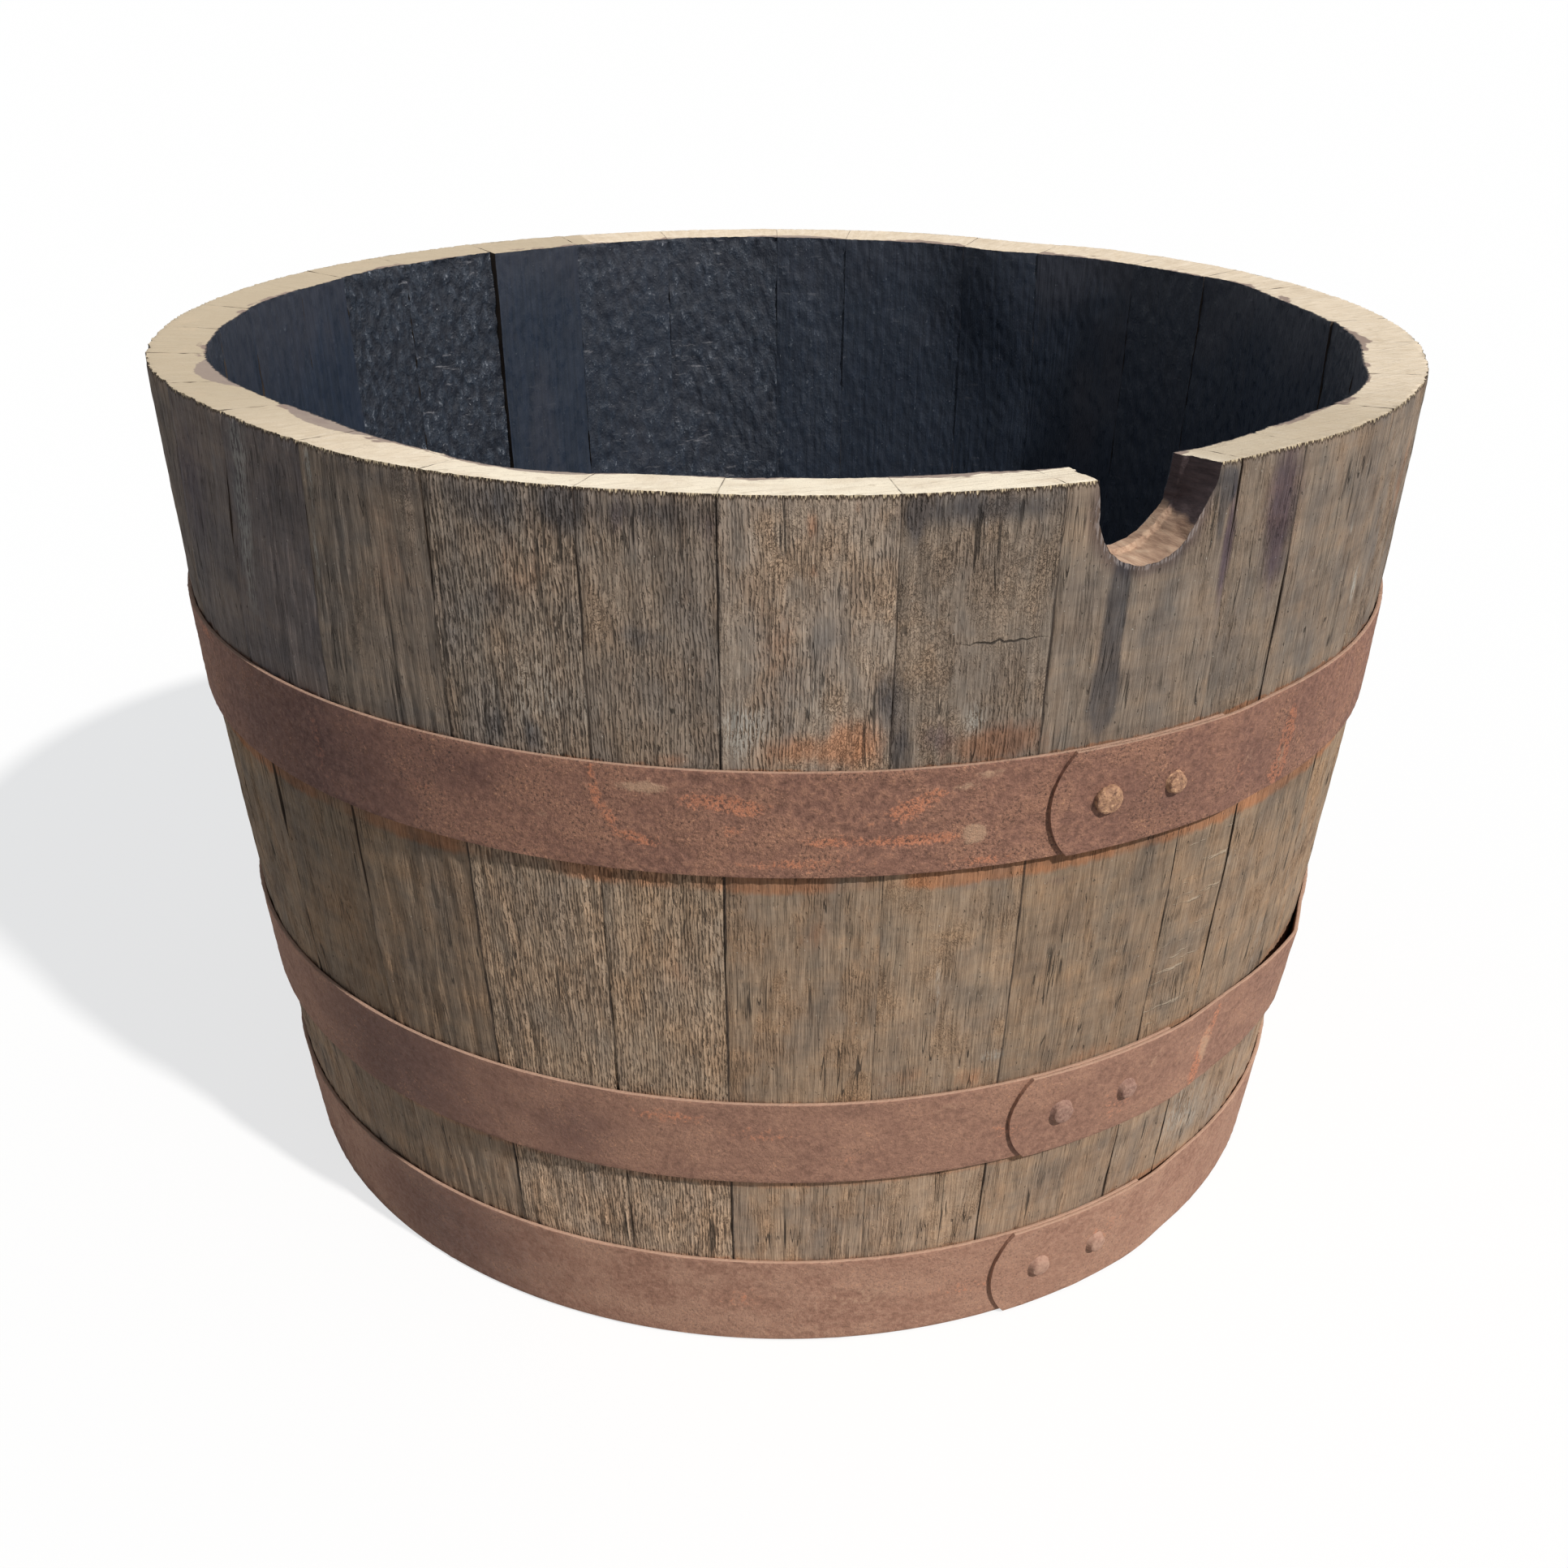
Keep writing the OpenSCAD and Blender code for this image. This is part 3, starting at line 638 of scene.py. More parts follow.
# Stains that have soaked into the outer face: for each an angle in degrees, a height, half its width and
# half its height, and its strength. Soot is blue-black, purple comes from iron and bleach is dry and pale.
stain_kinds = ("soot", "purple", "rust", "bleach")
bilge_z = 0.31
stave_stains = {
    "soot": [
        (-35.0, 0.44, 5.0, 0.008, 0.8), (-41.1, 0.439, 1.3, 0.012, 0.7), (-46.3, 0.437, 4.0, 0.011, 0.65),
        (-56.1, 0.443, 5.3, 0.009, 0.7), (-13.0, 0.441, 5.7, 0.007, 0.9), (-17.7, 0.433, 0.6, 0.014, 0.8),
        (-2.3, 0.398, 0.6, 0.022, 0.9), (-2.5, 0.376, 0.8, 0.033, 1.0), (-2.6, 0.352, 1.4, 0.015, 0.8),
        (-18.9, 0.364, 1.2, 0.013, 0.9), (-17.9, 0.342, 0.8, 0.01, 0.8), (-36.2, 0.389, 2.4, 0.006, 0.7),
        (-44.7, 0.34, 0.8, 0.009, 0.9), (-47.6, 0.341, 0.8, 0.008, 0.6), (-47.1, 0.398, 1.6, 0.009, 0.5),
        (-44.3, 0.401, 2.5, 0.009, 0.35), (-26.5, 0.36, 2.3, 0.009, 0.4), (-67.8, 0.411, 5.2, 0.038, 0.45),
        (-29.6, 0.181, 0.7, 0.021, 0.5), (-19.8, 0.185, 1.6, 0.006, 0.3), (-14.1, 0.197, 2.8, 0.006, 0.4),
        (3.0, 0.232, 2.7, 0.004, 0.5), (5.3, 0.441, 0.9, 0.008, 0.9), (6.8, 0.242, 1.4, 0.012, 0.4),
        (-8.6, 0.204, 1.3, 0.01, 0.3), (-60.4, 0.203, 3.2, 0.015, 0.4), (-61.5, 0.246, 2.6, 0.014, 0.4),
        (6.6, 0.437, 0.5, 0.006, 1.5), (6.0, 0.424, 0.4, 0.01, 1.1), (-88.0, 0.42, 6.0, 0.04, 0.4),
        (60.0, 0.43, 9.0, 0.012, 0.6), (96.0, 0.41, 5.0, 0.03, 0.5), (140.0, 0.435, 12.0, 0.012, 0.6),
        (171.0, 0.36, 4.0, 0.03, 0.6), (-150.0, 0.43, 10.0, 0.015, 0.5), (-118.0, 0.37, 5.0, 0.04, 0.4),
        (118.0, 0.2, 4.0, 0.03, 0.4), (-170.0, 0.21, 5.0, 0.03, 0.4),
    ],
    "purple": [
        (12.6, 0.427, 2.0, 0.024, 1.0), (12.8, 0.395, 1.3, 0.015, 0.5), (7.1, 0.411, 0.5, 0.024, 1.2),
        (-15.3, 0.345, 1.6, 0.008, 0.7), (-31.2, 0.435, 0.7, 0.008, 0.6), (-36.9, 0.436, 1.3, 0.01, 0.5),
        (-84.2, 0.404, 5.0, 0.035, 0.6), (-65.3, 0.432, 4.1, 0.022, 0.3), (-4.5, 0.267, 1.9, 0.003, 0.5),
        (-12.2, 0.272, 1.3, 0.003, 0.5), (78.0, 0.41, 4.0, 0.03, 0.6), (155.0, 0.4, 4.0, 0.03, 0.6),
        (-130.0, 0.4, 4.0, 0.03, 0.6),
    ],
    "rust": [
        (-21.1, 0.345, 1.7, 0.01, 1.0), (-25.1, 0.341, 2.8, 0.006, 0.8), (-10.7, 0.34, 3.0, 0.007, 1.2),
        (-24.5, 0.436, 0.4, 0.005, 0.7), (-24.3, 0.418, 0.3, 0.002, 0.5), (-21.5, 0.443, 0.2, 0.002, 0.5),
        (-26.5, 0.386, 1.7, 0.021, 0.35), (-55.1, 0.404, 3.0, 0.021, 0.35),
        (-44.4, 0.413, 1.8, 0.014, 0.35), (-34.3, 0.335, 1.4, 0.003, 0.6), (26.4, 0.414, 2.0, 0.017, 0.3),
        (-23.7, 0.251, 1.2, 0.009, 0.45), (-9.7, 0.164, 1.5, 0.006, 0.6), (-16.2, 0.169, 2.8, 0.006, 0.4),
        (-34.8, 0.229, 2.0, 0.011, 0.35), (1.9, 0.16, 3.8, 0.006, 0.45), (37.0, 0.405, 2.5, 0.016, 0.6),
        (70.0, 0.34, 6.0, 0.008, 0.8), (130.0, 0.34, 7.0, 0.008, 0.9), (-160.0, 0.34, 6.0, 0.008, 0.8),
        (-105.0, 0.34, 5.0, 0.007, 0.8),
    ],
    "bleach": [
        (-28.5, 0.351, 1.7, 0.011, 0.6), (-24.3, 0.362, 2.2, 0.01, 0.4), (-12.6, 0.35, 0.8, 0.008, 0.9),
        (-29.6, 0.348, 1.2, 0.011, 0.5), (-44.0, 0.361, 3.5, 0.022, 0.5), (-73.5, 0.396, 1.2, 0.037, 0.7),
        (-72.9, 0.437, 1.2, 0.014, 0.4), (-63.2, 0.427, 0.4, 0.022, 0.35), (-62.9, 0.439, 0.2, 0.006, 1.0),
        (-63.4, 0.398, 0.2, 0.01, 0.9), (27.3, 0.367, 0.3, 0.008, 1.2), (23.8, 0.399, 0.2, 0.003, 0.8),
        (-12.3, 0.235, 1.9, 0.0012, 0.7), (-13.8, 0.227, 0.2, 0.005, 0.7), (-13.6, 0.214, 0.2, 0.006, 0.6),
        (17.2, 0.086, 3.8, 0.018, 0.7), (25.6, 0.072, 4.0, 0.013, 0.5), (-8.1, 0.175, 1.3, 0.003, 0.7),
        (-31.2, 0.244, 0.7, 0.026, 0.4), (24.3, 0.172, 1.2, 0.02, 0.5), (14.9, 0.246, 1.2, 0.008, 0.5),
        (88.0, 0.39, 3.0, 0.04, 0.6), (165.0, 0.23, 4.0, 0.03, 0.5), (-140.0, 0.25, 4.0, 0.04, 0.5),
    ],
}


def soaked(kind, angle, z):
    """How strongly the stains of one kind have soaked in at an angle and a height."""
    total, far = 0.0, 5
    for at, height, half_angle, half_height, strength in stave_stains[kind]:
        off = ((angle - at) / half_angle) ** 2 + ((z - height) / half_height) ** 2
        if off < far:
            total += strength * math.exp(-0.7 * off)
    return total


def note(piece, name, values):
    """Note a number, a place or a colour on each point of a piece, for its finish to read by name."""
    if isinstance(values[0], float):
        kind, field = "FLOAT", "value"
    else:
        kind, field = {3: ("FLOAT_VECTOR", "vector"), 4: ("FLOAT_COLOR", "color")}[len(values[0])]
        values = [number for row in values for number in row]
    piece.data.attributes.new(name, kind, "POINT").data.foreach_set(field, values)


# One stave is scored across between two heights.
scored_stave, scored_low, scored_top = "stave_1", 0.128, 0.268


def mark_places(board, middle, half_angle, width, depth, tone, joints, scored, shift):
    """Note on each point its place on the flat board, its stains, its distance to a joint and how open
    that joint is, how scored the wood is, and the stave's own tone and thickness."""
    points = [v.co for v in board.data.vertices]
    reach = math.degrees(half_angle)
    light, warm, flaky, woolly, grain_above, grain_below, light_below = tone
    tone_above = (light, warm, flaky, woolly)
    tone_below = (light * light_below, max(warm, 0.4), flaky, woolly)
    stain_depth = 0.001
    stains = []
    for p in points:
        angle = math.degrees(middle) + reach * p.x / (width / 2)
        angle = math.remainder(angle, 360)
        outer = p.y < stain_depth
        stains.append([soaked(kind, angle, p.z) if outer else 0.0 for kind in stain_kinds])
    notes = {
        "board": [(p.x + shift, p.y, p.z) for p in points],
        "tone": [tone_above if p.z > bilge_z else tone_below for p in points],
        "grain": [grain_above if p.z > bilge_z else grain_below for p in points],
        "stains": stains,
        "edge": [width / 2 - abs(p.x) for p in points],
        "joint": [joints[0 if p.x < 0 else 1][0 if p.z > bilge_z else 1] for p in points],
        "depth": [depth] * len(points),
        "scores": [scored if scored_low < p.z < scored_top else 0.0 for p in points],
    }
    for name, values in notes.items():
        note(board, name, values)


outer_face, saw_cut, inner_face, joint_face, hole_wall = range(5)


def assign_faces(board, width, depth):
    """Outer face, saw cut, inner face and joints take the four finishes of a stave. What lies between the
    faces of the bung stave, away from its joints, is the bung hole."""
    mesh = board.data
    mesh.materials.clear()
    for finish in stave_finishes:
        mesh.materials.append(finish)
    skin, near_rim = 0.0003, 0.004
    upward, sideways, outward = 0.6, 0.9, 0.2
    for face in mesh.polygons:
        normal, centre = face.normal, face.center
        within = skin < centre.y < depth - skin and abs(centre.x) < width / 2 - skin
        if within and even_h < centre.z < half_h - skin:
            face.material_index = hole_wall
        elif centre.z > half_h - near_rim and normal.z > upward:
            face.material_index = saw_cut
        elif abs(normal.x) > sideways and abs(centre.x) > width / 2 - skin:
            face.material_index = joint_face
        elif centre.y < depth / 2 and normal.y < outward:
            face.material_index = outer_face
        elif centre.y > depth / 2 and normal.y > -outward:
            face.material_index = inner_face
        else:
            face.material_index = joint_face


def rim_error(angle, z):
    """How far the wall stands in from a true circle: flat stretches that fade out at the bilge hoop."""
    bilge_top = hoop_places[0][1]
    fade = min(1.0, max(0.0, (z - bilge_top) / (half_h - bilge_top)))
    inward = 0.0
    for middle, reach, much in ((-75, 26, 0.0075), (124, 13, 0.010), (12, 9, 0.0012)):
        off = math.remainder(math.degrees(angle) - middle, 360) / reach
        if abs(off) < 1:
            inward += much * math.cos(off * math.pi / 2) ** 2 * fade * fade * (3 - 2 * fade)
    return inward


def bend_stave(board, middle, half_angle, width, depth, beside, proud):
    """Bend a worked board to the cask's bow, taper it on its joints and cut croze and chime. beside holds
    its thickness at its two joints, where it meets its neighbours. The inner face is left half way between
    round and flat."""
    croze_play = 0.0002
    for v in board.data.vertices:
        x, y, z = v.co
        share = x / (width / 2)
        angle = middle + half_angle * share
        up = min(1.0, max(0.0, (z - even_h) / (half_h - even_h)))
        here = depth + (beside[0 if share < 0 else 1] - depth) * share * share
        wall = stave_t + (here - stave_t) * up
        if croze_low + croze_play < z < croze_top - croze_play:
            wall -= croze_depth
        if z < chime_bevel_h:
            wall -= chime_bevel_w * (1 - z / chime_bevel_h)
        inner_flat = 0.5 * (outer_r(z) - wall) * (half_angle ** 2) / 2 * (1 - share ** 2)
        deep = y / depth
        r = outer_r(z) - rim_error(angle, z) - proud - deep * (wall + inner_flat)
        drop = cut_dish * deep * max(0.0, z / half_h) ** 6
        v.co = (r * math.sin(angle), -r * math.cos(angle), z - drop)


# Each stave's lightness, its warmth, how flaky its char is, how woolly its grain, how deep the grain is
# above the bilge hoop and below it, and how much lighter the wood is below it. The bung stave comes first.
# joint_open tells how open the joint on each stave's right is, above the bilge hoop and below it.
stave_tones = [
    (0.95, 0.2, 0.2, -0.3, 0.36, 0.32, 0.87), (0.86, 0.3, 0.2, 0.1, 0.48, 0.38, 1.03),
    (0.95, 0.4, 0.3, 0.4, 0.36, 0.4, 0.97), (1.03, 0.6, 0.2, 0.3, 0.5, 0.45, 1.0),
    (1.0, 0.4, 0.1, 0.5, 0.7, 0.5, 1.0), (0.95, 0.4, 0.4, 0.2, 0.6, 0.6, 1.0),
    (0.95, 0.3, 0.1, 0.7, 0.8, 0.5, 1.0), (1.0, 0.5, 0.2, 0.3, 0.6, 0.4, 1.0),
    (0.95, 0.3, 0.3, 0.6, 0.9, 0.7, 1.0), (1.0, 0.6, 0.1, 0.1, 0.5, 0.6, 1.0),
    (0.9, 0.1, 0.2, 0.5, 0.8, 0.5, 1.0), (1.0, 0.2, 0.3, 0.8, 0.7, 0.4, 1.0),
    (1.05, 0.2, 0.4, 0.3, 0.6, 0.55, 1.0), (0.95, 0.2, 0.7, 0.6, 0.8, 0.6, 1.0),
    (1.0, 0.5, 0.6, 0.2, 0.7, 0.45, 1.0), (0.9, 0.3, 0.1, 0.7, 0.9, 0.7, 1.0),
    (1.0, 0.2, 0.95, 0.4, 0.6, 0.6, 1.0), (0.95, 0.3, 1.0, 0.1, 0.5, 0.4, 1.0),
    (0.9, 0.4, 0.1, 0.6, 0.8, 0.5, 1.0), (0.95, 0.4, 0.2, 0.5, 0.8, 0.6, 1.0),
    (0.9, 0.3, 0.1, 0.3, 0.6, 0.5, 1.0), (0.85, 0.2, 0.3, 0.6, 0.5, 0.5, 1.0),
    # Staves 22 to 25 lie on the side turned from the lamp; their low lightness and negative warmth paint
    # shade.
    (0.8, -0.3, 0.3, 0.2, 0.32, 0.5, 1.05), (0.74, -0.5, 0.4, 0.2, 0.3, 0.45, 1.08),
    (0.69, -0.6, 0.3, 0.0, 0.28, 0.42, 1.0), (0.86, -0.1, 0.3, 0.5, 0.42, 0.42, 0.92),
    (1.12, 0.4, 0.6, 0.1, 0.95, 0.8, 1.08), (1.05, 0.4, 0.2, 0.2, 0.72, 0.8, 1.1),
    (1.33, 0.6, 0.3, 0.5, 0.66, 0.44, 0.71), (0.98, 0.4, 0.2, 0.6, 0.6, 0.44, 0.98),
]
joint_open = [
    (0.35, 0.8), (1.0, 0.7), (0.7, 0.6), (0.5, 0.5), (0.3, 0.4), (0.8, 0.6), (0.4, 0.5), (0.6, 0.6),
    (0.3, 0.6), (0.7, 0.4), (0.5, 0.8), (0.3, 0.5), (0.9, 0.6), (0.4, 0.5), (0.6, 0.3), (0.3, 0.7),
    (0.5, 0.5), (0.8, 0.6), (0.4, 0.7), (0.6, 0.4), (0.3, 0.5), (0.5, 0.6), (0.3, 0.5), (0.25, 0.5),
    (0.3, 0.6), (0.6, 1.0), (0.9, 0.4), (1.0, 1.0), (0.8, 0.4), (1.0, 0.9),
]
stepped_joint = 15


def bung_cutter(depth, finish):
    """What is left of the bung hole: a round reamed hole, open to the saw cut, with a lip inside. Its
    right side is worn back towards the saw cut."""
    spread, spread_h, open_up = 0.10, 0.0045, 3.2
    lip_run, lip_narrow = 0.0065, 0.93
    flare_below, flare_slant, flare_h = 0.010, 0.012, 0.016
    clear_selection()
    bpy.ops.mesh.primitive_cylinder_add(
        vertices=144, radius=bung_r, depth=depth + 0.02, end_fill_type="NGON",
        location=(bung_off, depth / 2, half_h - bung_drop), rotation=(math.pi / 2, 0, 0))
    cutter = bpy.context.object
    bpy.ops.object.transform_apply(location=True, rotation=True, scale=True)
    divide(cutter, 1, depth / 2, 30)
    group(cutter, "all", lambda p: 1.0)
    for v in cutter.data.vertices:
        x, rise = v.co.x - bung_off, v.co.z - (half_h - bung_drop)
        if rise > 0:
            x *= 1 + spread * min(1.0, rise / spread_h)
            rise *= open_up
        if v.co.y > depth - lip_run:
            x *= lip_narrow
            rise = rise * lip_narrow if rise < 0 else rise
        if x > 0:
            deep = min(1.0, max(0.0, v.co.y / depth))
            flare = min(1.0, max(0.0, (rise + flare_below + flare_slant * deep) / flare_h))
            x += bung_flare * flare * flare * (3 - 2 * flare)
        v.co.x, v.co.z = bung_off + x, half_h - bung_drop + rise
    work(cutter, grain_texture, (0.004, 0.009, 0.004), 0.0012, "all", "NORMAL", 0.5, shift=3)
    cutter.data.materials.append(finish)
    return cutter


def bung_oak():
    """The reamed bung hole: raw tan oak at the bottom, dark purple-brown above, which is painted shade."""
    f = Finish("bung_oak")
    board = f.read("board")
    _, deep, up = f.parts(board)
    scratches = f.noise(board, (300, 60, 300), detail=5, roughness=0.65)
    spots = f.noise(board, (120, 90, 120), detail=3)
    raw = f.ramp(scratches, [(0.3, (0.26, 0.16, 0.11)), (0.5, (0.44, 0.29, 0.20)), (0.7, (0.60, 0.44, 0.31))])
    # The dark upper wall of the hole is painted shade.
    shaded_upper = f.ramp(scratches, [(0.3, (0.030, 0.020, 0.022)), (0.7, (0.12, 0.085, 0.085))])
    line = up + deep * -0.15 + (spots - 0.5) * 0.006
    wood = f.mix(f.between(line, half_h - 0.026, half_h - 0.023), raw, shaded_upper)
    return f.finish(wood, 0.8, f.bump(scratches, 0.0008, 0.8), shine=0.25)


bung_finish = bung_oak()
facts_of = [stave_facts(name) for name in stave_names]
gap = 0.00006
for index, name in enumerate(stave_names):
    middle, half_angle, depth = facts_of[index]
    width = 2 * half_angle * belly_r - 2 * gap
    shift = 1.7 * index
    tone = stave_tones[index]
    flaky = tone[2]
    before, after = facts_of[index - 1][2], facts_of[(index + 1) % stave_count][2]
    beside = [(depth + before) / 2, (depth + after) / 2]
    if index == stepped_joint:
        beside[1] = depth
    if index == stepped_joint + 1:
        beside[0] = depth
    stave = flat_stave("oak_" + name, width, depth)
    if name == "bung_stave":
        shape_with(stave, "DIFFERENCE", bung_cutter(depth, bung_finish))
    scored = 1.0 if name == scored_stave else 0.0
    joints = (joint_open[index - 1], joint_open[index])
    mark_places(stave, middle, half_angle, width, depth, tone, joints, scored, shift)
    assign_faces(stave, width, depth)
    if name == "bung_stave":
        stave.data.materials.append(bung_finish)
    work_stave(stave, width, depth, flaky, shift)
    proud = 0.00015 * (1 + math.sin(index * 2.4))
    bend_stave(stave, middle, half_angle - gap / belly_r, width, depth, beside, proud)
    smooth(stave, 50)
    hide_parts(name)
    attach(stave, "root")


# ---- Hoops ----
# Three strips of hoop steel, rolled to the cask's taper, lapped and riveted, and rusted all over. Each is
# worked flat, with x along it, y outwards and z its height, and is then rolled round the cask.

hoop_t, hoop_play, lap_play = 0.002, 0.0002, 0.0001
hoop_stand = 0.0008
lap_end, lap_run, tongue_round = 0.027, 0.042, 0.010
layer_step = hoop_t + lap_play
hoop_facts = {
    "bilge_hoop": {"rivet_at": -0.0085, "pitch": 0.035},
    "quarter_hoop": {"rivet_at": -0.006, "pitch": 0.0385},
    "head_hoop": {"rivet_at": -0.0015, "pitch": 0.0355},
}
spring_top, spring_foot, spring_curve = 0.0045, 0.0015, 1.2
spring_off, spring_rise, spring_fall = 0.006, 0.075, 0.036
rust_texture = clouds("rust", depth=4, contrast=1.6)
dent_texture = clouds("dents", depth=1)


def rusted_steel(name, brown, tan, crust, seed):
    """Old rust: purple-brown and fine-grained, with lighter and orange patches where it was scraped."""
    f = Finish(name)
    place = f.place()
    scraped, olive, dull_and_shade = f.shares(f.read("marks", "Color"))
    moved = f.add("Mapping", {"Vector": place, "Location": (seed, 0, 0)})
    crumbs = f.noise(moved, (720, 720, 720), detail=4, roughness=0.7)
    grains = f.noise(moved, (300, 300, 300), detail=6, roughness=0.72)
    cloudy = f.noise(moved, (34, 34, 44), detail=6, roughness=0.62)
    broad = f.noise(moved, (11, 11, 18), detail=3)
    halfway = tuple(0.6 * b + 0.4 * t for b, t in zip(brown, tan))
    low, high = [tuple(b + (other - b) * (0.4 + 0.6 * crust) for b, other in zip(brown, others))
                 for others in (tuple(0.62 * b for b in brown), tan)]
    rust = f.ramp(grains, [(0.36, low), (0.5, brown), (0.64, high)])
    rust = f.mix(f.between(cloudy, 0.42, 0.66, 0.0, 0.7), rust, tan)
    rust = f.mix(f.between(broad, 0.5, 0.7, 0.0, 0.5), rust, halfway)
    crusty = f.between(cloudy + (broad - 0.5) * 0.5, 0.46, 0.6, 0.25, 1.0)
    crusty = f.most(crusty, scraped * 0.9) * crust
    rust = f.mix(f.between(crumbs, 0.55, 0.65) * (crusty * 0.75), rust, (0.5, 0.265, 0.17))
    rust = f.mix(f.between(crumbs, 0.47, 0.36) * (crusty * 0.85), rust, (0.055, 0.033, 0.028))
    ragged = (grains - 0.5) * 2.2
    orange = f.between(scraped + ragged, 0.42, 0.75)
    rust = f.mix(orange * f.between(crumbs, 0.42, 0.58, 0.05, 0.9), rust, (0.54, 0.215, 0.12))
    rust = f.mix(f.between(olive + ragged * 0.6, 0.35, 0.85, 0.0, 0.8), rust, (0.47, 0.3, 0.2))
    # The grey-blue darkening is darker rust, and painted shade on the side of each hoop turned from the lamp.
    rust = f.tint(f.between(dull_and_shade + ragged * 0.4, 0.1, 0.9, 0.0, 0.92), rust, (0.52, 0.52, 0.6))
    sparks = f.between(crumbs + cloudy * 0.35, 0.82, 0.88)
    rust = f.mix(sparks * 0.5, rust, (0.6, 0.31, 0.17))
    # A pale band along the upper edge: painted highlight, where the top edge catches the lamp.
    edge_band = f.between(f.read("under_edge", "Fac"), 0.00045, 0.0002)
    rust = f.mix(edge_band * 0.65, rust, (0.55, 0.36, 0.26))
    relief = grains + crumbs * crusty * 0.9
    normal = f.bump(relief, 0.0006 + 0.0010 * crust, 0.9)
    return f.finish(rust, f.between(grains, 0.3, 0.7, 0.92, 0.72), normal, shine=0.25)


def flat_strip(name, length, low, high):
    """A length of hoop steel with its long edges dressed and a fine grid for its pits and dents."""
    arris, step_along, cuts_across = 0.00045, 0.0024, 24
    strip = block(name, (0, 0, low), (length, hoop_t, high))
    pick_edges(strip, 0, length / 2)
    bpy.ops.mesh.bevel(offset=arris, segments=2)
    bpy.ops.object.mode_set(mode="OBJECT")
    divide(strip, 0, length / 2, round(length / step_along))
    divide(strip, 2, (high - low) / 2, cuts_across)
    return strip


def hoop_radius(low, high, z):
    """Inner radius of a hoop, straight from its lower to its upper edge."""
    r_low, r_high = outer_r(low), outer_r(high)
    return r_low + (r_high - r_low) * (z - low) / (high - low) + hoop_play


def hoop_span(name):
    """The lower and upper edge of a hoop, off the frame, and its mean inner radius."""
    low, high = [corner.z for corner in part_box(name)]
    return low, high, hoop_radius(low, high, (low + high) / 2)


def roll_hoop(strip, name, low, high, mean_r):
    """Round the end of the strip to a tongue and roll it, lap over lap."""
    facts = hoop_facts[name]
    tip = facts["rivet_at"] - lap_end
    inner_end = facts["rivet_at"] + facts["pitch"] + lap_end
    lap_foot = inner_end + lap_run
    half_w = (high - low) / 2
    round_r = (half_w ** 2 + tongue_round ** 2) / (2 * tongue_round)
    squeeze = 0.030
    start = lap_foot + spring_off
    peak = start + spring_rise
    stop = peak + spring_fall
    for v in strip.data.vertices:
        x, y, z = v.co
        side = z - (low + high) / 2
        if x < squeeze:
            x += (round_r - math.sqrt(round_r ** 2 - min(abs(side), half_w) ** 2)) * (1 - x / squeeze)
        at = tip + x
        if at < inner_end:
            lift = layer_step
        elif at < lap_foot:
            lift = layer_step * (1 + math.cos(math.pi * (at - inner_end) / lap_run)) / 2
        else:
            lift = 0.0
        if name == "quarter_hoop" and start < at < stop:
            share = (at - start) / spring_rise if at < peak else (stop - at) / spring_fall
            sprung = spring_foot + (spring_top - spring_foot) * (z - low) / (high - low)
            lift += share ** spring_curve * sprung
        r = hoop_radius(low, high, z) + lift + y + hoop_stand * (high - z) / (high - low)
        angle = at / mean_r
        v.co = (r * math.sin(angle), -r * math.cos(angle), z)


